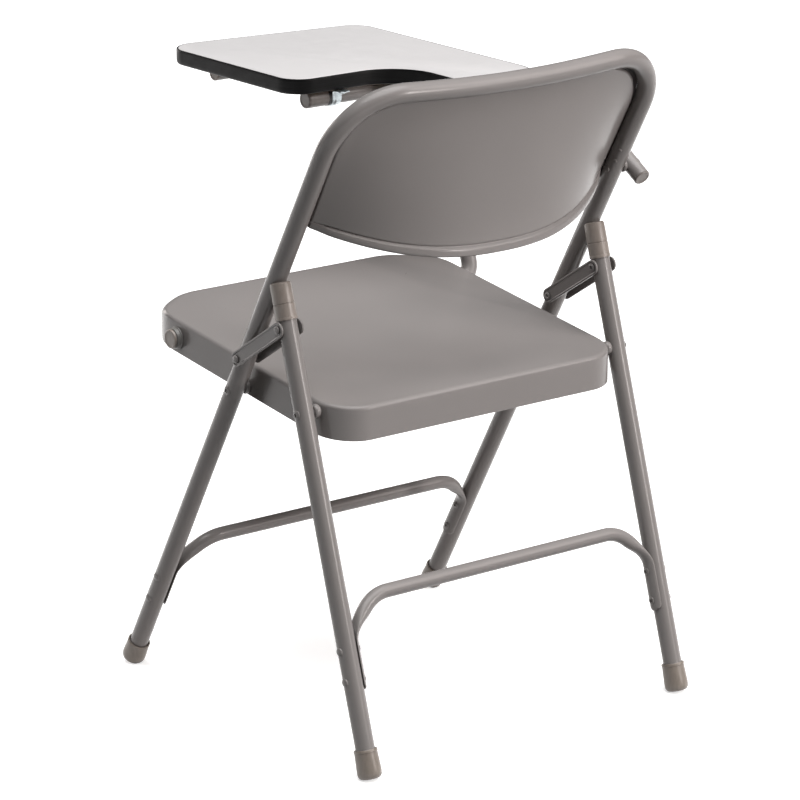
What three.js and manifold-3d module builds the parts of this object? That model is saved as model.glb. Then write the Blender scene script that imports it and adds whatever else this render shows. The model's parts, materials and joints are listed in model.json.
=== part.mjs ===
// A steel folding chair with a right-hand tablet arm.
// Millimetres, +Z up. The sitter faces -Y, and the tablet arm is on the sitter's right, at -X.
import * as THREE from "three";
import { mergeVertices } from "three/addons/utils/BufferGeometryUtils.js";
import Module from "manifold-3d";

const wasm = await Module();
wasm.setup();

// ---- driving dimensions ----
const GAP = 0.3; // between touching pieces
const TUBE_R = 11; // 7/8 inch legs
const ARM_R = 10; // the arm and the post
const TUBE_WALL = 1.5;
const BRACE_R = 8;
const TRACK = 225; // leg centre lines from the middle plane
const TUBE_SIDES = 12;
const HALF_SIDES = TUBE_SIDES / 2; // an arc's curveSegments count half a circle
const BEND_STEP = Math.PI / 14;

const FRONT_LEAN = THREE.MathUtils.degToRad(29.7);
const FRONT_BASE_Y = -243.2; // where the front frame's axis meets the floor
const REAR_LEAN = THREE.MathUtils.degToRad(-17.1);
const REAR_BASE_Y = 233.6;

const RAIL_S = 874; // top rail's centre line, measured up the frame
const RAIL_CORNER_R = 79.5;
const RAIL_BOW = 12;

const BACK_CLEAR = 5.5; // between the frame tube and the back panel
const BACK_EDGE_S = 691;
const BACK_BOW = 84;
const BACK_SHEET = 2;
const BACK_ACROSS = 18; // facets across and up the panel
const BACK_UP = 7;

const SEAT_HALF = 207;
const SEAT_FRONT = -245;
const SEAT_REAR = 150;
const SEAT_REAR_Z = 400;
const SEAT_SLOPE = 0.122;
const SEAT_DEPTH = 39;
const SEAT_SHEET = 1.6;
const SEAT_FRONT_R = 75;
const SEAT_REAR_R = 48;

// Pivots, as [y, z]; every axis runs along X.
const SEAT_PIVOT = [-20, 391];
const LEG_PIVOT = [113, 394];
const LINK_FRONT = [4.5, 434];
const LINK_REAR = [84.3, 485];
const POST_PIVOT = [-161, 416.5];
const ARM_PIVOT = [102.5, 606];
const TABLET_PIVOT = [-242.4, 650.5];

const PIN_R = 4;
const PIN_HEAD_R = 7;
const RIVET_INNER_HEAD = 1;
const SPACER_R = 8;
const BUSH_R = 12; // nylon bush round the post's axle
const BUSH_COLLAR_R = 12.8; // its collar outside the seat, on the left
const BUSH_COLLAR = 6.5;
const BUSH_LENGTH = 6;
const BUSH_CLEAR = 3 * GAP; // running clearance, with room for the start of the post's bend

// Braces: their rivets and cross tubes, measured up each leg.
const FRONT_RIVETS = [111.5, 147.5];
const REAR_RIVETS = [111.8, 146.4];
const FRONT_BRACE_S = 199.5;
const REAR_BRACE_S = 200;
const BRACE_WALL = 1.3;
const BRACE_BEND_R = 47;
const BRACE_TAIL = 12; // brace below its lower rivet
const BRACE_PIN_R = 3;

// Side links.
const LINK_R = 8.8;
const LINK_PIN_R = 3;
const LINK_HEAD_R = 4.6;
const LINK_THICK = 2.5;
const LINK_CLEAR = 1.6; // washer space between link and tube
const LINK_OUT = TRACK + TUBE_R + LINK_CLEAR;
const LINK_IN = TRACK - TUBE_R - LINK_CLEAR - LINK_THICK;

// Feet and caps, measured up each leg.
const FOOT_R = 14;
const FOOT_TOP = 35;
const FOOT_BORE_END = 12;
const LEG_TOP = 537.5;
const CAP_LOW = 517;
const CAP_TOP = 559;

const POST_X = -228;
const POST_BEND_R = 24;
const POST_END_X = -38;
const AXLE_END_X = 214.5;
const ARM_X = -252;
const ARM_BEND_R = 34;
const ARM_END_X = -43;
const ARM_RISE = THREE.MathUtils.degToRad(32);
const ARM_TAIL = 23; // arm behind its pivot
const ARM_FRONT_Y = -437.7;

const TOP_Z = 680; // writing surface
const BOARD_THICK = 19;
const BOARD_LOW = TOP_Z - BOARD_THICK;
const LAMINATE = 1;
const BAND = 2.5;
const TABLET_RIGHT = -282;
const TABLET_REAR = -85;
const TABLET_STEP = -223.5; // rear edge of the wide part
const ELBOW_X = -166;
// Corners of the outline with their radii, anticlockwise from above. The fourth corner is hollow.
const TABLET_CORNERS = [
  [TABLET_RIGHT, -461.3, 30],
  [-3, -494.5, 36],
  [-5.5, TABLET_STEP, 32],
  [ELBOW_X, TABLET_STEP, 60],
  [ELBOW_X, TABLET_REAR, 50],
  [TABLET_RIGHT, TABLET_REAR, 50],
];

const CLIP_WIDTH = 13;
const CLIP_SHEET = 1.5;
const CLIP_FLANGE = 17;
const CLIP_SCREW_OUT = 10.5; // screw's distance from the strap
const CLIPS = [
  ["rear", -76, TABLET_PIVOT[0]],
  ["front_left", -80, ARM_FRONT_Y],
  ["front_right", -190, ARM_FRONT_Y],
];

const PAINT = 0x96918c;
const LINK_PAINT = 0x7e7974;
const CAP_TAN = 0x968a80;
const ZINC = 0xb9c2c4;
const BLACK = 0x161616;
const LAMINATE_GREY = 0xd8d6d5;
const CORE_BROWN = 0x9c7d58;
const BUSH_GREY = 0x6b6863;

// ---- helpers ----
const v3 = (x, y, z) => new THREE.Vector3(x, y, z);
const frontAt = (x, s, d = 0) =>
  v3(
    x,
    FRONT_BASE_Y + s * Math.sin(FRONT_LEAN) + d * Math.cos(FRONT_LEAN),
    s * Math.cos(FRONT_LEAN) - d * Math.sin(FRONT_LEAN),
  );
const yz = (p) => [p.y, p.z];
const rearAt = (x, s) => v3(x, REAR_BASE_Y + s * Math.sin(REAR_LEAN), s * Math.cos(REAR_LEAN));
const SIDES = [
  ["left", 1],
  ["right", -1],
];

const chair = new THREE.Group();

function add(name, geometry, color, roughness = 0.5, metalness = 0.1) {
  const mesh = new THREE.Mesh(geometry, new THREE.MeshStandardMaterial({ color, roughness, metalness }));
  mesh.name = name;
  chair.add(mesh);
  return mesh;
}

function closed(geometry) {
  const bare = geometry.index ? geometry.toNonIndexed() : geometry.clone();
  bare.deleteAttribute("normal");
  bare.deleteAttribute("uv");
  return mergeVertices(bare, 1e-4);
}

function toSolid(geometry) {
  const merged = closed(geometry);
  return new wasm.Manifold(
    new wasm.Mesh({
      numProp: 3,
      vertProperties: merged.attributes.position.array,
      triVerts: new Uint32Array(merged.index.array),
    }),
  );
}

function toGeometry(solid) {
  const mesh = solid.getMesh();
  const geometry = new THREE.BufferGeometry();
  geometry.setAttribute("position", new THREE.BufferAttribute(new Float32Array(mesh.vertProperties), 3));
  geometry.setIndex(new THREE.BufferAttribute(new Uint32Array(mesh.triVerts), 1));
  return geometry;
}

function cut(geometry, ...tools) {
  let solid = toSolid(geometry);
  for (const tool of tools) solid = solid.subtract(toSolid(tool));
  return toGeometry(solid);
}

// A route whose stations are placed by hand: one step on a straight, several round a bend.
class Route extends THREE.Curve {
  constructor(stations) {
    super();
    this.stations = stations;
  }
  getPoint(t) {
    const last = this.stations.length - 1;
    const i = Math.min(Math.max(Math.floor(t * last), 0), last - 1);
    return this.stations[i].clone().lerp(this.stations[i + 1], t * last - i);
  }
  getPointAt(u) {
    return this.getPoint(u);
  }
  getTangentAt(u) {
    return this.getTangent(u);
  }
}

// The corner points of a bent tube, with every inner corner rounded to the radius.
function rounded(corners, radius) {
  const stations = [corners[0]];
  for (let i = 1; i < corners.length - 1; i++) {
    const back = corners[i - 1].clone().sub(corners[i]).normalize();
    const on = corners[i + 1].clone().sub(corners[i]).normalize();
    const turn = Math.PI - back.angleTo(on);
    const reach = radius * Math.tan(turn / 2);
    const middle = back.clone().add(on).normalize();
    const centre = corners[i].clone().addScaledVector(middle, radius / Math.cos(turn / 2));
    const start = corners[i].clone().addScaledVector(back, reach).sub(centre);
    const axis = back.clone().cross(on).normalize().negate();
    const steps = Math.max(2, Math.round(turn / BEND_STEP));
    for (let k = 0; k <= steps; k++) {
      stations.push(start.clone().applyAxisAngle(axis, (turn * k) / steps).add(centre));
    }
  }
  stations.push(corners[corners.length - 1]);
  return stations;
}

function tube(stations, radius, wall = TUBE_WALL) {
  const ring = new THREE.Shape().absarc(0, 0, radius, 0, 2 * Math.PI, false);
  ring.holes.push(new THREE.Path().absarc(0, 0, radius - wall, 0, 2 * Math.PI, true));
  return new THREE.ExtrudeGeometry(ring, {
    steps: stations.length - 1,
    curveSegments: HALF_SIDES,
    extrudePath: new Route(stations),
  });
}

// A turned piece on an axis along X: the profile lists [x, radius] and starts and ends on the axis.
function turned(profile, [y, z], sides = 10) {
  const points = profile.map(([x, r]) => new THREE.Vector2(r, x));
  const rising = profile[profile.length - 1][0] > profile[0][0];
  if (!rising) points.reverse();
  const geometry = new THREE.LatheGeometry(points, sides);
  geometry.rotateZ(-Math.PI / 2);
  geometry.translate(0, y, z);
  return geometry;
}

function ringAlongX(x0, x1, inner, outer, [y, z], sides = TUBE_SIDES) {
  const shape = new THREE.Shape().absarc(0, 0, outer, 0, 2 * Math.PI, false);
  shape.holes.push(new THREE.Path().absarc(0, 0, inner, 0, 2 * Math.PI, true));
  const geometry = new THREE.ExtrudeGeometry(shape, {
    depth: Math.abs(x1 - x0),
    bevelEnabled: false,
    curveSegments: sides / 2,
  });
  geometry.rotateY(Math.PI / 2);
  geometry.translate(Math.min(x0, x1), y, z);
  return geometry;
}

function rodAlongX(x0, x1, radius, [y, z], sides = TUBE_SIDES) {
  const geometry = new THREE.CylinderGeometry(radius, radius, Math.abs(x1 - x0), sides);
  geometry.rotateZ(Math.PI / 2);
  geometry.translate((x0 + x1) / 2, y, z);
  return geometry;
}

// The space a pin needs, with clearance at its flats as well as its corners.
function pinHole(x0, x1, pinRadius, pivot) {
  return rodAlongX(x0, x1, pinRadius + 2 * GAP, pivot, 8);
}

// Rings of equal point count, joined in order and closed by a fan at each end.
function loft(rings) {
  const count = rings[0].length;
  const positions = rings.flat().flatMap((p) => [p.x, p.y, p.z]);
  const index = [];
  for (let r = 0; r < rings.length - 1; r++) {
    for (let i = 0; i < count; i++) {
      const a = r * count + i;
      const b = r * count + ((i + 1) % count);
      index.push(a, b + count, b, a, a + count, b + count);
    }
  }
  const last = (rings.length - 1) * count;
  for (let i = 1; i < count - 1; i++) {
    index.push(0, i, i + 1);
    index.push(last, last + i + 1, last + i);
  }
  const geometry = new THREE.BufferGeometry();
  geometry.setAttribute("position", new THREE.Float32BufferAttribute(positions, 3));
  geometry.setIndex(index);
  return geometry;
}

// ---- front frame ----
const railBow = (x) => {
  const reach = TRACK - RAIL_CORNER_R + 0.6 * RAIL_CORNER_R;
  return RAIL_BOW * Math.max(0, 1 - (x / reach) ** 2);
};

function frontFrameTube() {
  const corner = TRACK - RAIL_CORNER_R;
  const half = [frontAt(TRACK, 14), frontAt(TRACK, 420), frontAt(TRACK, RAIL_S - RAIL_CORNER_R)];
  for (let k = 1; k <= 6; k++) {
    const a = (k * Math.PI) / 12;
    const x = corner + RAIL_CORNER_R * Math.cos(a);
    half.push(frontAt(x, RAIL_S - RAIL_CORNER_R * (1 - Math.sin(a)), railBow(x)));
  }
  for (const x of [0.66, 0.33]) half.push(frontAt(corner * x, RAIL_S, railBow(corner * x)));
  const mirrored = half.map((p) => v3(-p.x, p.y, p.z)).reverse();
  const stations = [...half, frontAt(0, RAIL_S, RAIL_BOW), ...mirrored];
  const holes = [];
  for (const [, side] of SIDES) {
    const inner = side * (TRACK - 2 * TUBE_R);
    const outer = side * (TRACK + 2 * TUBE_R);
    holes.push(pinHole(inner, outer, PIN_R, SEAT_PIVOT));
    holes.push(pinHole(inner, outer, LINK_PIN_R, LINK_FRONT));
    for (const s of FRONT_RIVETS) holes.push(pinHole(inner, outer, BRACE_PIN_R, yz(frontAt(0, s))));
  }
  holes.push(pinHole(-TRACK + 2 * TUBE_R, -TRACK - 2 * TUBE_R, PIN_R, ARM_PIVOT));
  return cut(tube(stations, TUBE_R), ...holes);
}

// The back panel hangs from the top rail and bows backwards, most of all along its lower edge.
function backPanel() {
  const top = RAIL_S - TUBE_R - BACK_CLEAR / 2;
  const inset = TUBE_R + BACK_CLEAR;
  const halfWidthAt = (s) => {
    const over = s - (RAIL_S - RAIL_CORNER_R);
    const r = RAIL_CORNER_R - inset;
    if (over <= 0) return TRACK - inset;
    return TRACK - RAIL_CORNER_R + Math.sqrt(Math.max(0, r * r - over * over));
  };
  const surface = (i, j, offset) => {
    const t = j / BACK_UP;
    const s = THREE.MathUtils.lerp(BACK_EDGE_S, top, t);
    const u = -1 + (2 * i) / BACK_ACROSS;
    const x = u * halfWidthAt(s);
    const lower = BACK_BOW * (1 - Math.abs(u) ** 2.2);
    const upper = railBow(x);
    const bow = THREE.MathUtils.lerp(lower, upper, t ** 0.85);
    return frontAt(x, s, bow + offset);
  };
  const positions = [];
  const index = [];
  const at = (side, i, j) => side * (BACK_ACROSS + 1) * (BACK_UP + 1) + j * (BACK_ACROSS + 1) + i;
  for (const offset of [0, BACK_SHEET]) {
    for (let j = 0; j <= BACK_UP; j++) {
      for (let i = 0; i <= BACK_ACROSS; i++) {
        const p = surface(i, j, offset);
        positions.push(p.x, p.y, p.z);
      }
    }
  }
  const quad = (a, b, c, d) => index.push(a, b, c, a, c, d);
  for (let j = 0; j < BACK_UP; j++) {
    for (let i = 0; i < BACK_ACROSS; i++) {
      quad(at(0, i, j), at(0, i + 1, j), at(0, i + 1, j + 1), at(0, i, j + 1));
      quad(at(1, i, j), at(1, i, j + 1), at(1, i + 1, j + 1), at(1, i + 1, j));
    }
  }
  for (let i = 0; i < BACK_ACROSS; i++) {
    quad(at(0, i, 0), at(1, i, 0), at(1, i + 1, 0), at(0, i + 1, 0));
    quad(at(0, i, BACK_UP), at(0, i + 1, BACK_UP), at(1, i + 1, BACK_UP), at(1, i, BACK_UP));
  }
  for (let j = 0; j < BACK_UP; j++) {
    quad(at(0, 0, j), at(0, 0, j + 1), at(1, 0, j + 1), at(1, 0, j));
    const end = BACK_ACROSS;
    quad(at(0, end, j), at(1, end, j), at(1, end, j + 1), at(0, end, j + 1));
  }
  const geometry = new THREE.BufferGeometry();
  geometry.setAttribute("position", new THREE.Float32BufferAttribute(positions, 3));
  geometry.setIndex(index);
  return geometry;
}

// ---- braces ----
function brace(at, height, rivets) {
  const x = TRACK - TUBE_R - BRACE_R - GAP;
  const low = rivets[0] - BRACE_TAIL;
  const corners = [at(x, low), at(x, height), at(-x, height), at(-x, low)];
  const holes = [];
  for (const [, side] of SIDES) {
    for (const s of rivets) {
      holes.push(pinHole(side * (x - 2 * BRACE_R), side * TRACK, BRACE_PIN_R, yz(at(0, s))));
    }
  }
  return cut(tube(rounded(corners, BRACE_BEND_R), BRACE_R, BRACE_WALL), ...holes);
}

function braceRivets(end, at, rivets) {
  const inner = TRACK - TUBE_R - 2 * BRACE_R - GAP;
  const outer = TRACK + TUBE_R;
  for (const [name, side] of SIDES) {
    rivets.forEach((s, i) => {
      const profile = [
        [inner - 1.6, 0],
        [inner - 1.6, 4.4],
        [inner - GAP, 4.8],
        [inner - GAP, BRACE_PIN_R],
        [outer + GAP, BRACE_PIN_R],
        [outer + GAP, 5.4],
        [outer + 2.2, 3.8],
        [outer + 3, 0],
      ].map(([x, r]) => [side * x, r]);
      const level = ["lower", "upper"][i];
      add(`${end}_brace_rivet_${name}_${level}`, turned(profile, yz(at(0, s)), 8), LINK_PAINT, 0.4, 0.4);
    });
  }
}

// ---- feet and caps ----
// A leg's plastic foot, turned on the leg's own axis and worn flat where it stands.
function foot(at, lean, low) {
  const profile = [
    [0, low],
    [FOOT_R - 3.5, low],
    [FOOT_R - 0.8, low + 1.2],
    [FOOT_R, low + 4],
    [FOOT_R - 0.8, low + 14],
    [FOOT_R - 1.6, FOOT_TOP],
    [TUBE_R + GAP, FOOT_TOP],
    [TUBE_R + GAP, FOOT_BORE_END],
    [0, FOOT_BORE_END],
  ].map(([r, s]) => new THREE.Vector2(r, s));
  const geometry = new THREE.LatheGeometry(profile, 14);
  geometry.rotateX(Math.PI / 2 - lean);
  const base = at(0, 0);
  geometry.translate(0, base.y, base.z);
  const floor = new THREE.BoxGeometry(100, 200, 60);
  floor.translate(0, base.y, -30);
  return cut(geometry, floor);
}

// The cap on a rear leg's top, hollowed where it rests on the front tube.
function legCap() {
  const profile = [
    [TUBE_R + GAP, CAP_LOW],
    [TUBE_R + 1.3, CAP_LOW],
    [TUBE_R + 1.3, CAP_LOW + 15],
    [TUBE_R + 0.9, CAP_TOP - 11],
    [TUBE_R + 0.6, CAP_TOP - 2],
    [TUBE_R - 1.2, CAP_TOP - 0.5],
    [0, CAP_TOP],
    [0, LEG_TOP + 1],
    [TUBE_R + GAP, LEG_TOP + 1],
    [TUBE_R + GAP, CAP_LOW],
  ].map(([r, s]) => new THREE.Vector2(r, s));
  const geometry = new THREE.LatheGeometry(profile, 14);
  geometry.rotateX(Math.PI / 2 - REAR_LEAN);
  const base = rearAt(0, 0);
  geometry.translate(0, base.y, base.z);
  const tubeSpace = new THREE.CylinderGeometry(TUBE_R + 2 * GAP, TUBE_R + 2 * GAP, 200, 16);
  tubeSpace.rotateX(Math.PI / 2 - FRONT_LEAN);
  const middle = frontAt(0, 625);
  tubeSpace.translate(0, middle.y, middle.z);
  const beyond = new THREE.BoxGeometry(60, 60, 200);
  beyond.translate(0, -30, 0);
  beyond.rotateX(-FRONT_LEAN);
  beyond.translate(0, middle.y, middle.z);
  return cut(geometry, tubeSpace, beyond);
}

// ---- rear legs ----
function rearLeg(side) {
  const inner = side * (TRACK - 2 * TUBE_R);
  const outer = side * (TRACK + 2 * TUBE_R);
  const holes = [pinHole(inner, outer, PIN_R, LEG_PIVOT)];
  for (const s of REAR_RIVETS) holes.push(pinHole(inner, outer, BRACE_PIN_R, yz(rearAt(0, s))));
  const x = side * TRACK;
  return cut(tube([rearAt(x, FOOT_BORE_END + 1), rearAt(x, LEG_TOP)], TUBE_R), ...holes);
}

// A rivet through a tube: thin head inside, domed head outside.
function pivotRivet(side, inner, outer, pivot, pin = PIN_R, head = PIN_HEAD_R) {
  const dome = head / 2;
  const profile = [
    [inner - RIVET_INNER_HEAD, 0],
    [inner - RIVET_INNER_HEAD, head],
    [inner, head],
    [inner, pin],
    [outer, pin],
    [outer, head],
    [outer + dome * 0.7, head * 0.7],
    [outer + dome, 0],
  ].map(([x, r]) => [side * x, r]);
  return turned(profile, pivot);
}

// ---- links ----
// One flat plate from the front tube to the rear leg, with round ends.
function linkPlate(x) {
  const [y0, z0] = LINK_FRONT;
  const [y1, z1] = LINK_REAR;
  const length = Math.hypot(y1 - y0, z1 - z0);
  const shape = new THREE.Shape();
  shape.absarc(0, 0, LINK_R, Math.PI / 2, (3 * Math.PI) / 2, false);
  shape.absarc(length, 0, LINK_R, -Math.PI / 2, Math.PI / 2, false);
  for (const u of [0, length]) {
    shape.holes.push(new THREE.Path().absarc(u, 0, LINK_PIN_R + GAP, 0, 2 * Math.PI, true));
  }
  const geometry = new THREE.ExtrudeGeometry(shape, {
    depth: LINK_THICK,
    bevelEnabled: false,
    curveSegments: 6,
  });
  // Shape x runs up the link, shape y across it, and the depth along X.
  geometry.applyMatrix4(new THREE.Matrix4().makeBasis(v3(0, 1, 0), v3(0, 0, 1), v3(1, 0, 0)));
  geometry.rotateX(Math.atan2(z1 - z0, y1 - y0));
  geometry.translate(x, y0, z0);
  return geometry;
}

// The link's rear rivet in two halves, because this pivot is the one left open.
function rearRivetHalf(side, outer) {
  const away = outer ? 1 : -1;
  const face = (outer ? LINK_OUT : LINK_IN + LINK_THICK) + away * GAP;
  const far = face + away * LINK_THICK;
  const head = outer ? 2.3 : 1;
  const profile = [
    [face, 0],
    [face, LINK_PIN_R],
    [far, LINK_PIN_R],
    [far, LINK_HEAD_R],
    [far + away * head * 0.5, LINK_HEAD_R - 0.5],
    [far + away * head, outer ? 2 : LINK_HEAD_R - 1],
    [far + away * head, 0],
  ].map(([x, r]) => [side * x, r]);
  return turned(profile, LINK_REAR);
}

// ---- seat ----
const seatTop = (y) => SEAT_REAR_Z + SEAT_SLOPE * (SEAT_REAR - y);

// The seat's outline, moved in by the inset, at a height below or above the seat's own slope.
function seatRing(inset, height) {
  const points = [];
  const corners = [
    [1, 1, SEAT_REAR_R],
    [-1, 1, SEAT_REAR_R],
    [-1, -1, SEAT_FRONT_R],
    [1, -1, SEAT_FRONT_R],
  ];
  corners.forEach(([sx, sy, radius], k) => {
    const r = Math.max(2, radius - inset);
    const cx = sx * (SEAT_HALF - inset - r);
    const cy = (sy > 0 ? SEAT_REAR - inset : SEAT_FRONT + inset) - sy * r;
    for (let i = 0; i <= 6; i++) {
      const a = (k * Math.PI) / 2 + (i * Math.PI) / 12;
      const x = cx + r * Math.cos(a);
      const y = cy + r * Math.sin(a);
      points.push(v3(x, y, seatTop(y) + height));
    }
  });
  return points;
}

function seatPan() {
  const outside = [
    [110, -4],
    [40, -2.6],
    [9, 0],
    [3, -1.2],
    [0, -6],
    [0, -SEAT_DEPTH],
  ];
  const inside = outside
    .map(([inset, height]) => [inset + SEAT_SHEET * (inset < 9 ? 1 : 0), height - SEAT_SHEET])
    .reverse();
  inside[0] = [SEAT_SHEET, -SEAT_DEPTH];
  const rings = [...outside, ...inside].map(([inset, height]) => seatRing(inset, height));
  const holes = SIDES.map(([, side]) =>
    rodAlongX(side * (SEAT_HALF - 4), side * (SEAT_HALF + 4), BUSH_R + GAP, POST_PIVOT, 16),
  );
  for (const pivot of [SEAT_PIVOT, LEG_PIVOT]) {
    holes.push(pinHole(-2 * TRACK, 2 * TRACK, PIN_R, pivot));
  }
  return cut(loft(rings), ...holes);
}

// ---- post and arm ----
const [POST_Y, POST_Z] = POST_PIVOT;
const [TAB_Y, TAB_Z] = TABLET_PIVOT;

function postTube() {
  const corners = [
    v3(AXLE_END_X, POST_Y, POST_Z),
    v3(POST_X, POST_Y, POST_Z),
    v3(POST_X, TAB_Y, TAB_Z),
    v3(POST_END_X, TAB_Y, TAB_Z),
  ];
  return tube(rounded(corners, POST_BEND_R), ARM_R);
}

function armTube() {
  const [y, z] = ARM_PIVOT;
  const run = (TAB_Z - z) / Math.tan(ARM_RISE);
  const corners = [
    v3(ARM_X, y + ARM_TAIL * Math.cos(ARM_RISE), z - ARM_TAIL * Math.sin(ARM_RISE)),
    v3(ARM_X, y - run, TAB_Z),
    v3(ARM_X, ARM_FRONT_Y, TAB_Z),
    v3(ARM_END_X, ARM_FRONT_Y, TAB_Z),
  ];
  return tube(rounded(corners, ARM_BEND_R), ARM_R);
}

// A plug in a tube's end, built along +X from its head and turned to the direction.
function plug(end, direction, head) {
  const r = ARM_R - TUBE_WALL - 2 * GAP;
  const profile = [
    [-14, 0],
    [-14, r],
    [GAP, r],
    [GAP, ARM_R],
    [GAP + head - 1, ARM_R],
    [GAP + head, ARM_R - 1.5],
    [GAP + head, 0],
  ];
  const geometry = turned(profile, [0, 0], 16);
  geometry.applyQuaternion(new THREE.Quaternion().setFromUnitVectors(v3(1, 0, 0), direction));
  geometry.translate(end.x, end.y, end.z);
  return geometry;
}

// ---- tablet ----
// The board's outline moved in by the inset, with its corners rounded.
function tabletOutline(inset) {
  const points = [];
  const count = TABLET_CORNERS.length;
  for (let k = 0; k < count; k++) {
    const [x, y, radius] = TABLET_CORNERS[k];
    const [px, py] = TABLET_CORNERS[(k + count - 1) % count];
    const [nx, ny] = TABLET_CORNERS[(k + 1) % count];
    const corner = new THREE.Vector2(x, y);
    const back = new THREE.Vector2(px, py).sub(corner).normalize();
    const on = new THREE.Vector2(nx, ny).sub(corner).normalize();
    const between = Math.acos(back.dot(on));
    const hollow = back.cross(on) > 0;
    const middle = back.clone().add(on).normalize();
    const centre = corner.clone().addScaledVector(middle, radius / Math.sin(between / 2));
    const r = hollow ? radius + inset : radius - inset;
    const turn = Math.PI - between;
    const steps = Math.max(4, Math.round(turn / 0.2));
    const from = middle.clone().negate().angle() - (hollow ? -1 : 1) * (turn / 2);
    for (let i = 0; i <= steps; i++) {
      const a = from + ((hollow ? -1 : 1) * turn * i) / steps;
      points.push(new THREE.Vector2(centre.x + r * Math.cos(a), centre.y + r * Math.sin(a)));
    }
  }
  return points;
}

function plate(outline, low, high, hole) {
  const shape = new THREE.Shape(outline);
  if (hole) shape.holes.push(new THREE.Path([...hole].reverse()));
  const geometry = new THREE.ExtrudeGeometry(shape, { depth: high - low, bevelEnabled: false });
  geometry.translate(0, 0, low);
  return geometry;
}

// A strap that passes under a cross tube, with one flange screwed up into the board.
function clip(x, tubeY) {
  const r = ARM_R + GAP;
  const up = BOARD_LOW - TAB_Z - GAP;
  const strap = new THREE.Shape();
  const outer = r + CLIP_SHEET;
  strap.moveTo(-outer, up);
  strap.absarc(0, 0, outer, Math.PI, 2 * Math.PI, false);
  strap.lineTo(outer, up - CLIP_SHEET);
  strap.lineTo(r + CLIP_FLANGE, up - CLIP_SHEET);
  strap.lineTo(r + CLIP_FLANGE, up);
  strap.lineTo(r, up);
  strap.lineTo(r, 0);
  strap.absarc(0, 0, r, 2 * Math.PI, Math.PI, true);
  strap.lineTo(-r, up);
  const geometry = new THREE.ExtrudeGeometry(strap, {
    depth: CLIP_WIDTH,
    bevelEnabled: false,
    curveSegments: 10,
  });
  geometry.applyMatrix4(new THREE.Matrix4().makeBasis(v3(0, 1, 0), v3(0, 0, 1), v3(1, 0, 0)));
  geometry.translate(x - CLIP_WIDTH / 2, tubeY, TAB_Z);
  return geometry;
}

function screw(x, tubeY) {
  const top = BOARD_LOW - GAP - CLIP_SHEET - GAP;
  const profile = [
    [0, -2.6],
    [2.6, -2.4],
    [4.2, -1],
    [4.4, 0],
    [0, 0],
  ].map(([r, z]) => new THREE.Vector2(r, z));
  const geometry = new THREE.LatheGeometry(profile, 10);
  geometry.rotateX(Math.PI / 2);
  geometry.translate(x, tubeY + ARM_R + GAP + CLIP_SCREW_OUT, top);
  return geometry;
}

// ---- assembly: fixed frame ----
add("front_frame_tube", frontFrameTube(), PAINT);
add("back_panel", backPanel(), PAINT);
add("front_brace", brace(frontAt, FRONT_BRACE_S, FRONT_RIVETS), PAINT);
braceRivets("front", frontAt, FRONT_RIVETS);
for (const [name, side] of SIDES) {
  const shoe = foot(frontAt, FRONT_LEAN, 5);
  shoe.translate(side * TRACK, 0, 0);
  add(`front_foot_${name}`, shoe, CAP_TAN, 0.6, 0);
  const inner = SEAT_HALF - SEAT_SHEET - GAP;
  const outer = TRACK + TUBE_R + GAP;
  add(`seat_pivot_rivet_${name}`, pivotRivet(side, inner, outer, SEAT_PIVOT), LINK_PAINT, 0.4, 0.4);
  const spacer = ringAlongX(
    side * (SEAT_HALF + GAP),
    side * (TRACK - TUBE_R - GAP),
    PIN_R + GAP,
    SPACER_R,
    SEAT_PIVOT,
  );
  add(`seat_pivot_spacer_${name}`, spacer, LINK_PAINT, 0.4, 0.4);
  const linkInner = LINK_IN - GAP;
  const linkOuter = LINK_OUT + LINK_THICK + GAP;
  const linkRivet = pivotRivet(side, linkInner, linkOuter, LINK_FRONT, LINK_PIN_R, LINK_HEAD_R);
  add(`link_front_rivet_${name}`, linkRivet, LINK_PAINT, 0.4, 0.4);
}

const ARM_INNER = ARM_X + ARM_R + GAP; // the face of the spacer that meets the arm
const stud = [
  [-TRACK + TUBE_R + 1, 0],
  [-TRACK + TUBE_R + 1, 6.5],
  [-TRACK + TUBE_R + GAP, 6.5],
  [-TRACK + TUBE_R + GAP, PIN_R],
  [ARM_INNER, PIN_R],
  [ARM_INNER, 0],
];
add("arm_pivot_bolt", turned(stud, ARM_PIVOT), LINK_PAINT, 0.4, 0.4);
const armSpacer = ringAlongX(-TRACK - TUBE_R - GAP, ARM_INNER, PIN_R + 2 * GAP, 7, ARM_PIVOT);
add("arm_pivot_spacer", armSpacer, LINK_PAINT, 0.4, 0.4);

// ---- assembly: seat ----
add("seat_pan", seatPan(), PAINT, 0.45);
for (const [name, side] of SIDES) {
  const bore = ARM_R + BUSH_CLEAR;
  const inner = side * (SEAT_HALF - BUSH_LENGTH);
  if (side > 0) {
    const outer = SEAT_HALF + GAP;
    const profile = [
      [inner, bore],
      [outer + BUSH_COLLAR, bore],
      [outer + BUSH_COLLAR, BUSH_COLLAR_R - 0.4],
      [outer, BUSH_COLLAR_R],
      [outer, BUSH_R],
      [inner, BUSH_R],
      [inner, bore],
    ];
    add(`axle_bush_${name}`, turned(profile, POST_PIVOT, 16), BUSH_GREY, 0.6, 0);
  } else {
    const bush = ringAlongX(inner, side * (SEAT_HALF - GAP), bore, BUSH_R, POST_PIVOT);
    add(`axle_bush_${name}`, bush, BUSH_GREY, 0.6, 0);
  }
}

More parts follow.
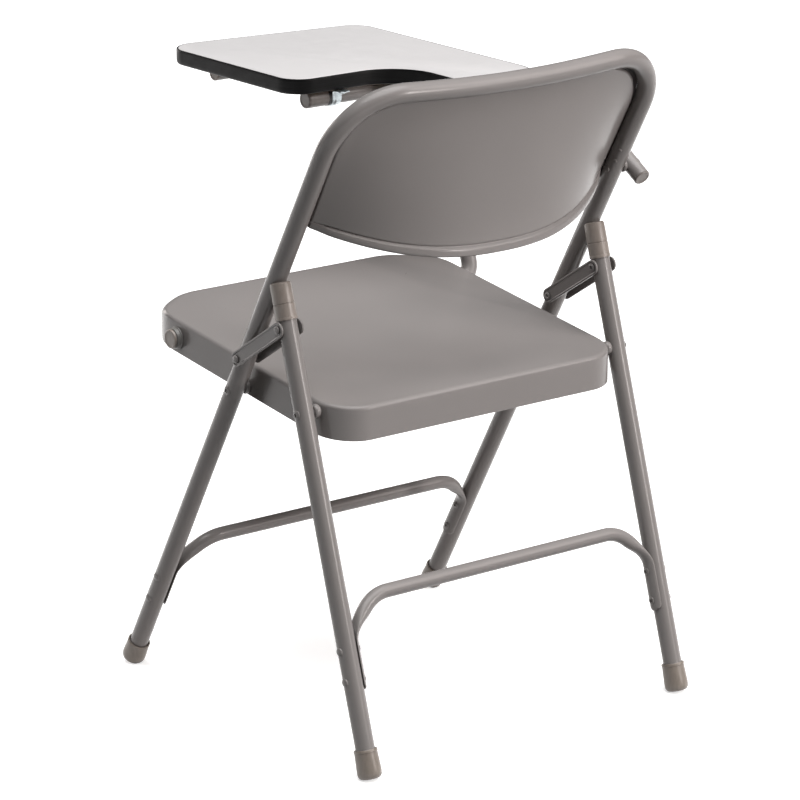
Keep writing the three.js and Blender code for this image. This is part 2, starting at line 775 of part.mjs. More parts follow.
// ---- assembly: rear legs ----
for (const [name, side] of SIDES) {
  add(`rear_leg_${name}`, rearLeg(side), PAINT);
  const shoe = foot(rearAt, REAR_LEAN, 1.5);
  shoe.translate(side * TRACK, 0, 0);
  add(`rear_foot_${name}`, shoe, CAP_TAN, 0.6, 0);
  const cap = legCap();
  cap.translate(side * TRACK, 0, 0);
  add(`rear_leg_cap_${name}`, cap, CAP_TAN, 0.6, 0);
  const inner = SEAT_HALF - SEAT_SHEET - GAP - 6; // clear of the pan's rounded corner
  const bolt = pivotRivet(side, inner, TRACK + TUBE_R + GAP, LEG_PIVOT);
  add(`leg_pivot_bolt_${name}`, bolt, LINK_PAINT, 0.4, 0.4);
  const spacer = ringAlongX(
    side * (SEAT_HALF + GAP),
    side * (TRACK - TUBE_R - GAP),
    PIN_R + GAP,
    SPACER_R,
    LEG_PIVOT,
  );
  add(`leg_pivot_spacer_${name}`, spacer, LINK_PAINT, 0.4, 0.4);
}
add("rear_brace", brace(rearAt, REAR_BRACE_S, REAR_RIVETS), PAINT);
braceRivets("rear", rearAt, REAR_RIVETS);

// ---- assembly: links ----
for (const [name, side] of SIDES) {
  const outerX = side > 0 ? LINK_OUT : -LINK_OUT - LINK_THICK;
  const innerX = side > 0 ? LINK_IN : -LINK_IN - LINK_THICK;
  add(`link_outer_${name}`, linkPlate(outerX), LINK_PAINT);
  add(`link_inner_${name}`, linkPlate(innerX), LINK_PAINT);
  add(`link_rear_rivet_outer_${name}`, rearRivetHalf(side, true), LINK_PAINT, 0.4, 0.4);
  add(`link_rear_rivet_inner_${name}`, rearRivetHalf(side, false), LINK_PAINT, 0.4, 0.4);
}

// ---- assembly: post ----
add("post_tube", postTube(), PAINT);
add("post_axle_cap", plug(v3(AXLE_END_X, POST_Y, POST_Z), v3(1, 0, 0), 3), CAP_TAN, 0.6, 0);
add("post_end_plug", plug(v3(POST_END_X, TAB_Y, TAB_Z), v3(1, 0, 0), 2), CAP_TAN, 0.6, 0);

// ---- assembly: tablet arm ----
add("arm_tube", armTube(), PAINT);
const [ARM_Y, ARM_Z] = ARM_PIVOT;
const tailDirection = v3(0, Math.cos(ARM_RISE), -Math.sin(ARM_RISE));
const tail = v3(ARM_X, ARM_Y, ARM_Z).addScaledVector(tailDirection, ARM_TAIL);
const ARM_OUTER = ARM_X - ARM_R - GAP;
const nut = [
  [ARM_OUTER, 0],
  [ARM_OUTER, 6],
  [ARM_OUTER - 1.2, 5.4],
  [ARM_OUTER - 2, 3.5],
  [ARM_OUTER - 2.2, 0],
];
add("arm_pivot_nut", turned(nut, ARM_PIVOT), LINK_PAINT, 0.4, 0.4);
add("arm_rear_plug", plug(tail, tailDirection, 2), CAP_TAN, 0.6, 0);
add("arm_front_plug", plug(v3(ARM_END_X, ARM_FRONT_Y, TAB_Z), v3(1, 0, 0), 3), CAP_TAN, 0.6, 0);

const core = plate(tabletOutline(BAND + GAP), BOARD_LOW, TOP_Z - LAMINATE - GAP);
add("tablet_board", core, CORE_BROWN, 0.8, 0);
add("tablet_laminate", plate(tabletOutline(BAND + GAP), TOP_Z - LAMINATE, TOP_Z), LAMINATE_GREY, 0.35, 0);
const band = plate(tabletOutline(0), BOARD_LOW, TOP_Z, tabletOutline(BAND));
add("tablet_edge_band", band, BLACK, 0.55, 0);
for (const [name, x, y] of CLIPS) {
  add(`clip_${name}`, clip(x, y), ZINC, 0.3, 0.9);
  add(`clip_screw_${name}`, screw(x, y), ZINC, 0.3, 0.9);
}

// The origin is the middle of the floor under the chair's own box.
const box = new THREE.Box3().setFromObject(chair);
const middle = box.getCenter(v3(0, 0, 0));
chair.position.set(-middle.x, -middle.y, -box.min.z);

export default chair;
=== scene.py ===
"""The looks of a steel folding chair with a right-hand tablet arm.

Shapes are written in millimetres in the chair's own frame: x across from the middle of the legs
(+x is the sitter's left), y towards the back, z up. place() turns them into the row's metres.
"""

import json
import math

import bmesh
import bpy
import numpy as np
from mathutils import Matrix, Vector


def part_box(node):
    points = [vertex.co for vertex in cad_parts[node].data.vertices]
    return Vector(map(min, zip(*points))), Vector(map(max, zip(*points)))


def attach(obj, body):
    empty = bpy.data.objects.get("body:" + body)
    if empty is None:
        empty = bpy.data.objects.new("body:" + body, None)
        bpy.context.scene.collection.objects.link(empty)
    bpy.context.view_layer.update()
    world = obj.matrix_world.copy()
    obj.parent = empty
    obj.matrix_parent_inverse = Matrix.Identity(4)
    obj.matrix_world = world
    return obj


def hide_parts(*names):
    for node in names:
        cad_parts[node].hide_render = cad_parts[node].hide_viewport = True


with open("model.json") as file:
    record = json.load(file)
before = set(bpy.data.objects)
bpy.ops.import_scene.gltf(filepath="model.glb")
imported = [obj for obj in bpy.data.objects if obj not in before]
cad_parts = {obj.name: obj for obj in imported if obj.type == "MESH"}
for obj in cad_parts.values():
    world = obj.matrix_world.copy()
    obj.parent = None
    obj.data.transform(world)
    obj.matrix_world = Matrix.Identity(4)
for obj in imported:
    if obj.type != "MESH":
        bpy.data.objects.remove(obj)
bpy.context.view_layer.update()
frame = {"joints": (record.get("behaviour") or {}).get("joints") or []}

MM = 0.001
SEAT_PIVOT_Y = -20
JOINTS = {j["name"]: j["pos_m"] for j in frame["joints"]}
pan_low, pan_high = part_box("seat_pan")
ORIGIN = np.array([(pan_low.x + pan_high.x) / 2, JOINTS["seat_fold"][1] - SEAT_PIVOT_Y * MM, 0.0])
SIDES = (("left", 1), ("right", -1))

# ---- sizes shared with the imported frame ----
GAP = 0.3
TUBE_R = 11
ARM_R = 10
BRACE_R = 8
TRACK = 225
FRONT_LEAN = math.radians(29.7)
FRONT_BASE_Y = -243.2
REAR_LEAN = math.radians(-17.1)
REAR_BASE_Y = 233.6
RAIL_S = 874
RAIL_CORNER_R = 79.5
RAIL_BOW = 12
TUBE_START = 14  # the legs' tubes end this far up inside their feet
BACK_CLEAR = 5.5  # between the tube and the panel's side
BACK_EDGE_S = 691
BACK_BOW = 84
SEAT_HALF = 207
SEAT_FRONT = -245
SEAT_REAR = 150
SEAT_REAR_Z = 400
SEAT_SLOPE = 0.122
SEAT_DEPTH = 39
SEAT_FRONT_R = 75
SEAT_REAR_R = 48
FRONT_RIVETS = (111.5, 147.5)
REAR_RIVETS = (111.8, 146.4)
FRONT_BRACE_S = 199.5
REAR_BRACE_S = 200
BRACE_TAIL = 12
BRACE_BEND_R = 47
PIN_R = 4
LINK_R = 8.8
LINK_PIN_R = 3
LINK_HEAD_R = 4.6
LINK_THICK = 2.5
LINK_CLEAR = 1.6
LINK_OUT = TRACK + TUBE_R + LINK_CLEAR
LINK_IN = TRACK - TUBE_R - LINK_CLEAR - LINK_THICK
POST_X = -228
POST_BEND_R = 24
POST_END_X = -38
AXLE_END_X = 214.5
ARM_X = -252
ARM_BEND_R = 34
ARM_END_X = -43
ARM_RISE = math.radians(32)
ARM_TAIL = 23
ARM_FRONT_Y = -437.7
TOP_Z = 680
BOARD_LOW = TOP_Z - 19
BAND = 2.5
CLIP_WIDTH = 13
CLIP_SHEET = 1.5
CLIP_FLANGE = 17

RING = 48  # facets round a tube
ARC_STEP = math.radians(4)


# ---- places ----
def place(points):
    """Chair millimetres to row metres."""
    return np.asarray(points, float) * MM + ORIGIN


def pivot(joint):
    """A joint's [y, z] in chair millimetres."""
    return (np.array(JOINTS[joint]) - ORIGIN)[1:] / MM


def front_at(x, s, d=0.0):
    """A point s up the front frame and d behind its plane."""
    y = FRONT_BASE_Y + s * math.sin(FRONT_LEAN) + d * math.cos(FRONT_LEAN)
    return np.array([x, y, s * math.cos(FRONT_LEAN) - d * math.sin(FRONT_LEAN)])


def rear_at(x, s, d=0.0):
    """A point s up a rear leg and d behind it."""
    y = REAR_BASE_Y + s * math.sin(REAR_LEAN) + d * math.cos(REAR_LEAN)
    return np.array([x, y, s * math.cos(REAR_LEAN) - d * math.sin(REAR_LEAN)])


SEAT_PIVOT = pivot("seat_fold")
LEG_PIVOT = pivot("rear_leg_fold")
LINK_FRONT = pivot("link_left_fold")
LINK_REAR = LINK_FRONT + (79.8, 51.0)
POST_PIVOT = pivot("post_fold")
TABLET_PIVOT = pivot("tablet_fold")
bolt_low, bolt_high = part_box("arm_pivot_bolt")
ARM_PIVOT = ((np.array(bolt_low) + np.array(bolt_high)) / 2 - ORIGIN)[1:] / MM


def smooth_step(t):
    """0 to 1, level at both ends."""
    t = min(max(t, 0.0), 1.0)
    return t * t * (3 - 2 * t)


def mix(a, b, t):
    """A value a share t of the way from a to b."""
    return a + (b - a) * t


# ---- mesh making ----
def add(name, data):
    """A new object in the scene."""
    thing = bpy.data.objects.new(name, data)
    bpy.context.scene.collection.objects.link(thing)
    return thing


def make(name, shape, material, body, replaces=None, sharp=34):
    """One visible piece from (points, faces): placed, shaded, riding on its body."""
    points, faces = shape
    mesh = bpy.data.meshes.new(name)
    mesh.from_pydata(place(points).tolist(), [], [tuple(int(i) for i in f) for f in faces])
    solid = bmesh.new()
    solid.from_mesh(mesh)
    bmesh.ops.remove_doubles(solid, verts=solid.verts, dist=1e-6)
    bmesh.ops.recalc_face_normals(solid, faces=solid.faces)
    solid.to_mesh(mesh)
    solid.free()
    mesh.shade_smooth()
    mesh.set_sharp_from_angle(angle=math.radians(sharp))
    mesh.materials.append(material)
    piece = add(name, mesh)
    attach(piece, body)
    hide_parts(*(replaces or [name.replace("fine_", "", 1)]))
    return piece


def joined(*shapes):
    """Several shapes as one list of points and faces."""
    points, faces, start = [], [], 0
    for shape_points, shape_faces in shapes:
        points.append(np.asarray(shape_points, float))
        faces += [tuple(i + start for i in face) for face in shape_faces]
        start += len(shape_points)
    return np.concatenate(points), faces


def skin(rings, loop=False):
    """Closed rings of equal count, joined in order, with flat ends or back to the first ring."""
    count = len(rings[0])
    faces = []
    last = len(rings) if loop else len(rings) - 1
    for r in range(last):
        a = r * count
        b = ((r + 1) % len(rings)) * count
        for i in range(count):
            j = (i + 1) % count
            faces.append((a + i, a + j, b + j, b + i))
    if not loop:
        faces.append(tuple(range(count - 1, -1, -1)))
        faces.append(tuple(range((len(rings) - 1) * count, len(rings) * count)))
    return np.concatenate([np.asarray(r, float) for r in rings]), faces


def sheet_solid(grid, thickness):
    """A grid of points thickened to both sides of itself and closed round its border."""
    grid = np.asarray(grid, float)
    across = np.gradient(grid, axis=0)
    along = np.gradient(grid, axis=1)
    normal = np.cross(across, along)
    normal /= np.linalg.norm(normal, axis=2, keepdims=True)
    rows, columns = grid.shape[:2]
    points = np.concatenate([
        (grid + normal * thickness / 2).reshape(-1, 3),
        (grid - normal * thickness / 2).reshape(-1, 3),
    ])
    other = rows * columns
    faces = []
    for i in range(rows - 1):
        for j in range(columns - 1):
            a, b = i * columns + j, (i + 1) * columns + j
            faces.append((a, b, b + 1, a + 1))
            faces.append((a + other, a + 1 + other, b + 1 + other, b + other))
    border = [(i, 0) for i in range(rows)] + [(rows - 1, j) for j in range(1, columns)]
    border += [(i, columns - 1) for i in range(rows - 2, -1, -1)]
    border += [(0, j) for j in range(columns - 2, 0, -1)]
    index = [i * columns + j for i, j in border]
    for a, b in zip(index, index[1:] + index[:1]):
        faces.append((a, a + other, b + other, b))
    return points, faces


def bend(corners, radius):
    """A path through the corners with each inner corner rounded."""
    corners = [np.asarray(c, float) for c in corners]
    path = [corners[0]]
    for before, corner, after in zip(corners, corners[1:], corners[2:]):
        back = (before - corner) / np.linalg.norm(before - corner)
        on = (after - corner) / np.linalg.norm(after - corner)
        turn = math.pi - math.acos(np.clip(back @ on, -1, 1))
        middle = (back + on) / np.linalg.norm(back + on)
        centre = corner + middle * radius / math.cos(turn / 2)
        steps = max(2, round(turn / ARC_STEP))
        for k in range(steps + 1):
            angle = turn * (k / steps - 0.5)
            side = (on - back) / np.linalg.norm(on - back)
            path.append(centre + radius * (side * math.sin(angle) - middle * math.cos(angle)))
    path.append(corners[-1])
    return np.array(path)


def sweep(path, radius):
    """A round solid along a path."""
    path = np.asarray(path, float)
    tangent = np.gradient(path, axis=0)
    tangent /= np.linalg.norm(tangent, axis=1, keepdims=True)
    least = np.eye(3)[np.argmin(np.abs(tangent[0]))]
    normal = np.cross(tangent[0], least)
    normal /= np.linalg.norm(normal)
    angles = np.linspace(0, 2 * math.pi, RING, endpoint=False)
    rings = []
    for point, direction in zip(path, tangent):
        normal = normal - direction * (normal @ direction)
        normal /= np.linalg.norm(normal)
        other = np.cross(direction, normal)
        ring = [point + radius * (math.cos(a) * normal + math.sin(a) * other) for a in angles]
        rings.append(np.array(ring))
    return skin(rings)


def lathe(profile, base, axis, count=RING):
    """A turned solid: the profile lists [along, radius] from the base, and starts and ends at radius 0."""
    axis = np.asarray(axis, float) / np.linalg.norm(axis)
    least = np.eye(3)[np.argmin(np.abs(axis))]
    normal = np.cross(axis, least)
    normal /= np.linalg.norm(normal)
    other = np.cross(axis, normal)
    angles = np.linspace(0, 2 * math.pi, count, endpoint=False)
    rings = []
    for along, r in profile:
        r = max(r, 1e-4)
        rings.append(np.array([
            np.asarray(base) + along * axis + r * (math.cos(a) * normal + math.sin(a) * other)
            for a in angles
        ]))
    return skin(rings)


def turned(profile, side, at, count=28):
    """A turned solid on an axis along x: the profile lists [x, radius] for the left side."""
    base = np.array([0.0, at[0], at[1]])
    return lathe(profile, base, (side, 0, 0), count)


def ring_of(profile, side, at):
    """A closed ring of [x, radius] points turned about an axis along x."""
    return skin([turned([[x, r]], side, at, 40)[0] for x, r in profile], loop=True)


# ---- materials ----
class Finish:
    """A small builder of node materials, mapped by the row's own metres."""

    def __init__(self, name, roughness=0.5, metallic=0.0, specular=0.5):
        self.material = bpy.data.materials.new(name)
        self.material.use_nodes = True
        self.tree = self.material.node_tree
        self.shader = self.tree.nodes["Principled BSDF"]
        self.shader.inputs["Roughness"].default_value = roughness
        self.shader.inputs["Metallic"].default_value = metallic
        self.shader.inputs["Specular IOR Level"].default_value = specular
        self.coordinates = self.node("ShaderNodeTexCoord").outputs["Object"]
        self.bumped = None

    def node(self, kind, **settings):
        made = self.tree.nodes.new(kind)
        for key, value in settings.items():
            setattr(made, key, value)
        return made

    def link(self, output, target):
        self.tree.links.new(output, target)

    def texture(self, kind, scale, stretch):
        made = self.node(kind)
        made.inputs["Scale"].default_value = scale
        mapped = self.coordinates
        if stretch:
            mapping = self.node("ShaderNodeMapping")
            mapping.inputs["Scale"].default_value = stretch
            self.link(mapped, mapping.inputs["Vector"])
            mapped = mapping.outputs["Vector"]
        self.link(mapped, made.inputs["Vector"])
        return made

    def noise(self, scale, detail=2.0, rough=0.5, stretch=None):
        made = self.texture("ShaderNodeTexNoise", scale, stretch)
        made.inputs["Detail"].default_value = detail
        made.inputs["Roughness"].default_value = rough
        return made.outputs["Fac"]

    def cells(self, scale, output="Color", stretch=None):
        return self.texture("ShaderNodeTexVoronoi", scale, stretch).outputs[output]

    def edges(self, low, high):
        """1 on convex edges, 0 on flats."""
        geometry = self.node("ShaderNodeNewGeometry")
        return self.span(geometry.outputs["Pointiness"], low, high, 0, 1)

    def span(self, value, from_low, from_high, low, high):
        """The value mapped from one range to another, and held to its ends."""
        made = self.node("ShaderNodeMapRange")
        limits = {"From Min": from_low, "From Max": from_high, "To Min": low, "To Max": high}
        for key, number in limits.items():
            made.inputs[key].default_value = number
        self.link(value, made.inputs["Value"])
        return made.outputs["Result"]

    def times(self, a, b):
        made = self.node("ShaderNodeMath", operation="MULTIPLY")
        self.link(a, made.inputs[0])
        self.link(b, made.inputs[1])
        return made.outputs[0]

    def blend(self, share, a, b):
        """Colour a where share is 0, b where it is 1; each is a colour or an output."""
        made = self.node("ShaderNodeMix", data_type="RGBA")
        self.link(share, made.inputs["Factor"])
        for key, colour in (("A", a), ("B", b)):
            socket = [s for s in made.inputs if s.name == key and s.type == "RGBA"][0]
            if isinstance(colour, tuple):
                socket.default_value = (*colour, 1)
            else:
                self.link(colour, socket)
        return [s for s in made.outputs if s.type == "RGBA"][0]

    def colour(self, output):
        self.link(output, self.shader.inputs["Base Color"])

    def roughness(self, output):
        self.link(output, self.shader.inputs["Roughness"])

    def bump(self, height, strength, distance):
        made = self.node("ShaderNodeBump")
        made.inputs["Strength"].default_value = strength
        made.inputs["Distance"].default_value = distance
        self.link(height, made.inputs["Height"])
        if self.bumped is not None:
            self.link(self.bumped, made.inputs["Normal"])
        self.bumped = made.outputs["Normal"]
        self.link(self.bumped, self.shader.inputs["Normal"])


def shade(colour, factor):
    """A colour made lighter or darker."""
    return tuple(c * factor for c in colour)


def powder_coat(name, colour, roughness=0.24):
    """Satin powder coat: soft mottling, a fine fleck, orange peel, and edges rubbed a little lighter."""
    f = Finish(name, roughness, specular=0.28)
    mottled = f.blend(f.span(f.noise(9, 1), 0.2, 0.8, 0, 1), shade(colour, 0.96), shade(colour, 1.04))
    fleck = f.span(f.noise(1300, 1), 0.5, 0.75, 0, 0.16)
    flecked = f.blend(fleck, mottled, shade(colour, 1.2))
    worn = f.times(f.edges(0.56, 0.68), f.span(f.noise(60, 4, 0.7), 0.45, 0.62, 0, 0.35))
    f.colour(f.blend(worn, flecked, shade(colour, 1.5)))
    f.roughness(f.span(f.noise(26, 1), 0.2, 0.8, roughness - 0.02, roughness + 0.02))
    f.bump(f.noise(520, 2), 0.07, 0.0003)
    return f.material


def moulded_plastic(name, colour, roughness=0.36, contact_shade=False):
    """Moulded plastic: faint upright flow streaks, a fine grain, scuffs and, if asked, painted shade: a
    dark band just above the floor standing in for a contact shadow.
    """
    f = Finish(name, roughness)
    streaks = f.span(f.noise(90, 3, 0.6, stretch=(3.0, 3.0, 0.5)), 0.35, 0.65, 0, 1)
    base = f.blend(streaks, shade(colour, 0.93), shade(colour, 1.07))
    scuffs = f.span(f.noise(420, 4, 0.75), 0.6, 0.75, 0, 0.3)
    scuffed = f.blend(scuffs, base, shade(colour, 1.3))
    if contact_shade:
        # painted shade: the last few millimetres above the floor turn dark, as a contact shadow would
        position = f.node("ShaderNodeSeparateXYZ")
        f.link(f.coordinates, position.inputs["Vector"])
        floor_shade_mask = f.span(position.outputs["Z"], 0.0005, 0.004, 1, 0)
        scuffed = f.blend(floor_shade_mask, scuffed, shade(colour, 0.12))
    f.colour(scuffed)
    f.roughness(f.span(f.noise(120, 3), 0.3, 0.7, roughness - 0.05, roughness + 0.05))
    f.bump(f.noise(1600, 2), 0.12, 0.0002)
    return f.material


def zinc_plate(name):
    """Bright zinc: a faint blue cast with soft spangles and rolling lines."""
    f = Finish(name, 0.36, metallic=1.0)
    spangle = f.span(f.cells(420, "Distance"), 0.0, 0.9, 0, 1)
    base = f.blend(spangle, (0.34, 0.385, 0.40), (0.46, 0.50, 0.515))
    lines = f.span(f.noise(500, 3, 0.6, stretch=(1.0, 0.12, 0.12)), 0.35, 0.65, 0, 0.5)
    f.colour(f.blend(lines, base, (0.26, 0.30, 0.32)))
    f.roughness(f.span(f.noise(260, 3), 0.3, 0.7, 0.3, 0.42))
    f.bump(f.noise(700, 2, stretch=(1.0, 0.2, 0.2)), 0.15, 0.0002)
    return f.material


def laminate_sheet(name, colour):
    """Decor laminate: a very faint cloud, a paper fleck, a fine pressed texture and a painted highlight
    along its rim.
    """
    f = Finish(name, 0.5, specular=0.2)
    clouds = f.span(f.noise(14, 4, 0.6), 0.35, 0.65, 0, 1)
    base = f.blend(clouds, shade(colour, 0.985), shade(colour, 1.015))
    fleck = f.span(f.noise(900, 3, 0.7), 0.56, 0.7, 0, 0.18)
    flecked = f.blend(fleck, base, shade(colour, 0.8))
    # painted highlight: the sheet's sharp rim is lightened as if it caught the light
    f.colour(f.blend(f.edges(0.52, 0.56), flecked, shade(colour, 1.5)))
    f.roughness(f.span(f.noise(60, 3), 0.3, 0.7, 0.46, 0.56))
    f.bump(f.noise(2200, 2), 0.08, 0.00012)
    return f.material


def edge_moulding(name):
    """Black extruded edging with fine lines along it."""
    f = Finish(name, 0.42, specular=0.08)
    lines = f.noise(150, 3, 0.6, stretch=(0.15, 0.15, 9.0))
    f.colour(f.blend(f.span(lines, 0.3, 0.7, 0, 1), (0.005, 0.005, 0.005), (0.010, 0.010, 0.0105)))
    f.roughness(f.span(f.noise(90, 3), 0.3, 0.7, 0.36, 0.5))
    f.bump(lines, 0.12, 0.0003)
    return f.material


def particle_board(name):
    """Pressed chips under a thin brown backing coat."""
    f = Finish(name, 0.75)
    chips = f.cells(330, "Color", stretch=(1.0, 0.45, 1.0))
    tone = f.node("ShaderNodeSeparateColor")
    f.link(chips, tone.inputs["Color"])
    base = f.blend(tone.outputs["Red"], (0.20, 0.125, 0.07), (0.36, 0.25, 0.15))
    fine = f.span(f.noise(1100, 4, 0.7), 0.4, 0.65, 0, 0.4)
    f.colour(f.blend(fine, base, (0.42, 0.31, 0.2)))
    f.roughness(f.span(f.noise(200, 3), 0.3, 0.7, 0.65, 0.85))
    f.bump(f.cells(330, "Distance", stretch=(1.0, 0.45, 1.0)), 0.2, 0.0003)
    return f.material


TAUPE = (0.235, 0.221, 0.2155)
PAINT = powder_coat("grey_powder_coat", TAUPE)
LINK_PAINT = powder_coat("link_powder_coat", shade(TAUPE, 0.85))
RIVET_PAINT = powder_coat("painted_rivet", shade(TAUPE, 0.95), 0.22)
TAN = moulded_plastic("tan_plastic", (0.256, 0.222, 0.198))
# the feet carry the painted contact shadow along the floor
FOOT_TAN = moulded_plastic("foot_plastic", (0.215, 0.186, 0.160), contact_shade=True)
# the tan plastic with painted shade: a darker copy for the plugs and the sleeve that sit in shadow
SHADED_TAN = moulded_plastic("shaded_tan_plastic", (0.165, 0.145, 0.132))
BUSH = moulded_plastic("nylon_bush", (0.15, 0.145, 0.138), 0.4)
COLLAR = moulded_plastic("dark_collar", (0.02, 0.02, 0.022), 0.45)
ZINC = zinc_plate("bright_zinc")
LAMINATE = laminate_sheet("grey_laminate", (0.52, 0.512, 0.514))
BAND_BLACK = edge_moulding("black_edging")
CORE = particle_board("particle_board")


# ---- front frame ----
def rail_bow(x):
    """How far the top rail bows back behind the frame's plane."""
    reach = TRACK - 0.4 * RAIL_CORNER_R
    return RAIL_BOW * max(0.0, 1 - (x / reach) ** 2) ** 1.25


def frame_path():
    """Up one leg, round the top rail and down the other leg."""
    corner = TRACK - RAIL_CORNER_R
    half = [front_at(TRACK, TUBE_START), front_at(TRACK, 300), front_at(TRACK, RAIL_S - RAIL_CORNER_R)]
    for a in np.linspace(0, math.pi / 2, 28)[1:]:
        x = corner + RAIL_CORNER_R * math.cos(a)
        half.append(front_at(x, RAIL_S - RAIL_CORNER_R * (1 - math.sin(a)), rail_bow(x)))
    for x in np.linspace(corner, 0, 16)[1:]:
        half.append(front_at(x, RAIL_S, rail_bow(x)))
    other = [p * (-1, 1, 1) for p in half[-2::-1]]
    return np.array(half + other)


BACK_SHEET = 2.0
SIDE_ROLL_R = 4.5
SIDE_FLANGE = 2
LIP_INSET = 7  # how far inside the tube's centre line the side lip ends
LIP_DEPTH = 9  # and how far in front of it
LIP_DROP = 14  # how much further down than the face the lip reaches
HEM_WIDTH = 7.5
HEM_PROFILE = (  # share of the hem's width below its top, and how far behind the face
    (-0.45, 0), (-0.32, -0.1), (-0.22, -0.6), (-0.12, -0.8), (-0.03, -0.5), (0, 0.4), (0.005, 1.4),
    (0.02, 2.5), (0.05, 3.1), (0.1, 3.5), (0.18, 3.7), (0.35, 3.9), (0.6, 3.9), (0.8, 3.7),
    (0.9, 3.3), (0.96, 2.7), (0.99, 2), (1, 1.2), (0.98, 0.4),
)
HEM_FADE = 20  # length over which the hem sinks into the face at its ends
HEM_DROP = 1.5
BOW_POWER = 2.4
WELD_HEIGHTS = (714, 730)
WELD_IN, WELD_BACK = 0.8, 0.6  # where round the tube the welds sit


def inside_frame(s, inset):
    """Half the width at height s, inset from the centre line of the frame and its round corners."""
    over = s - (RAIL_S - RAIL_CORNER_R)
    if over <= 0:
        return TRACK - inset
    r = RAIL_CORNER_R - inset
    return TRACK - RAIL_CORNER_R + math.sqrt(max(0.0, r * r - over * over))


def back_point(share, turn, lip, s, behind, top_s):
    """A point of the panel: share of its half width, turned over its side roll, and out along its lip."""
    half = inside_frame(s, TUBE_R + BACK_CLEAR) - SIDE_ROLL_R
    t = min(1.0, max(0.0, (s - BACK_EDGE_S) / (top_s - BACK_EDGE_S))) ** 0.85
    side = math.copysign(1, share)
    bow = mix(BACK_BOW * (1 - abs(share) ** BOW_POWER), rail_bow(share * half), t)
    lean = math.atan(mix(BACK_BOW * BOW_POWER * abs(share) ** (BOW_POWER - 1) / half, 0.0, t))
    angle = lean + turn * (math.pi / 2 - lean)
    x = share * half + side * SIDE_ROLL_R * (math.sin(angle) - math.sin(lean))
    bow -= SIDE_ROLL_R * (math.cos(lean) - math.cos(angle)) + (SIDE_FLANGE if lip > 0 else 0)
    x += side * behind * math.sin(angle)
    bow += behind * math.cos(angle)
    lip_x = side * inside_frame(s, LIP_INSET)
    s -= lip * LIP_DROP * (1 - t)
    return front_at(mix(x, lip_x, lip), s, mix(bow, rail_bow(lip_x) - LIP_DEPTH + behind, lip))


def back_panel():
    """One pressed sheet: a bowed face, a rolled hem, and sides rolled forward on to the uprights."""
    top_s = RAIL_S - TUBE_R - BACK_CLEAR / 2
    edge_s = BACK_EDGE_S - HEM_DROP
    rolls = [(1, k / 8, 0) for k in range(1, 9)] + [(1, 1, k / 4 + 0.01) for k in range(4)] + [(1, 1, 1)]
    main = [(math.sin(u * math.pi / 2), 0, 0) for u in np.linspace(-1, 1, 101)]
    columns = [(-1, turn, lip) for _, turn, lip in reversed(rolls)] + main + rolls
    crease = edge_s + HEM_WIDTH
    face = [(mix(top_s, crease + 4, k / 30), 0.0) for k in range(31)]
    hem = [(crease - share * HEM_WIDTH, behind) for share, behind in HEM_PROFILE]
    grid = []
    for share, turn, lip in columns:
        from_end = (1 - abs(share)) * inside_frame(edge_s, TUBE_R + BACK_CLEAR)
        fade = mix(0.3, 1.0, smooth_step(from_end / HEM_FADE))
        grid.append([back_point(share, turn, lip, s, behind * fade, top_s) for s, behind in face + hem])
    return sheet_solid(grid, BACK_SHEET)


def upright_bumps(side):
    """Small plug welds on the upright's inner rear side."""
    profile = [[-1.5, 0], [-1.5, 2.3], [0.1, 2.3], [0.6, 1.7], [0.9, 0]]
    outward = front_at(-side * WELD_IN, 0, WELD_BACK) - front_at(0, 0, 0)
    shapes = []
    for s in WELD_HEIGHTS:
        base = front_at(side * (TRACK - TUBE_R * WELD_IN), s, TUBE_R * WELD_BACK)
        shapes.append(lathe(profile, base, outward, 16))
    return joined(*shapes)


make("fine_front_frame_tube", sweep(frame_path(), TUBE_R), PAINT, "front_frame")
make("fine_back_panel", back_panel(), PAINT, "front_frame", sharp=50)
make("arm_side_welds", upright_bumps(-1), PAINT, "front_frame", ["front_frame_tube"])


# ---- braces ----
FLAT_HALF_WIDTH = 11
FLAT_HALF_THICK = 1.6
FLAT_START = 7  # how far above the upper rivet the brace is still flat
FLAT_RUN = 34  # length over which it then goes round
FLAT_TIP = 7  # length of the rounded tip
BRACE_HEAD_R = 5
BRACE_HEAD_RISE = 2


def brace(at, height, rivets):
    """A bent tube whose ends are pressed flat and wrapped part of the way round the legs."""
    reach = TUBE_R + GAP + BRACE_R  # from the leg's centre line to the brace's
    x = TRACK - reach
    low = rivets[0] - BRACE_TAIL
    path = bend([at(x, low), at(x, height), at(-x, height), at(-x, low)], BRACE_BEND_R)
    lead = [mix(path[0], path[1], k / 24) for k in range(24)]
    path = np.concatenate([lead, path[1:-1], [p * (-1, 1, 1) for p in reversed(lead)]])
    lateral = at(0, 0, 1) - at(0, 0, 0)
    up = at(0, 1) - at(0, 0)
    tangent = np.gradient(path, axis=0)
    tangent /= np.linalg.norm(tangent, axis=1, keepdims=True)
    wrap = TUBE_R + GAP + FLAT_HALF_THICK
    rings = []
    for point, direction in zip(path, tangent):
        rise = (point - at(0, 0)) @ up
        flat = 1 - smooth_step((rise - rivets[1] - FLAT_START) / FLAT_RUN)
        outward = np.cross(direction, lateral)  # towards the leg or, on the span, upwards
        if outward @ (np.array([point[0], 0, 0]) + up * 40) < 0:
            outward = -outward
        tip = math.sqrt(max(0.05, 1 - max(0.0, 1 - (rise - low) / FLAT_TIP) ** 2))
        ring = []
        for a in np.linspace(0, 2 * math.pi, 36, endpoint=False):
            round_u, round_v = BRACE_R * math.cos(a), BRACE_R * math.sin(a)
            turn = FLAT_HALF_WIDTH * tip * math.sin(a) / wrap
            distance = wrap - FLAT_HALF_THICK * math.cos(a) * min(1.0, 3 * abs(math.cos(a)) ** 0.5)
            flat_u = reach - distance * math.cos(turn)
            flat_v = distance * math.sin(turn)
            ring.append(point + mix(round_u, flat_u, flat) * outward + mix(round_v, flat_v, flat) * lateral)
        rings.append(np.array(ring))
    return skin(rings)


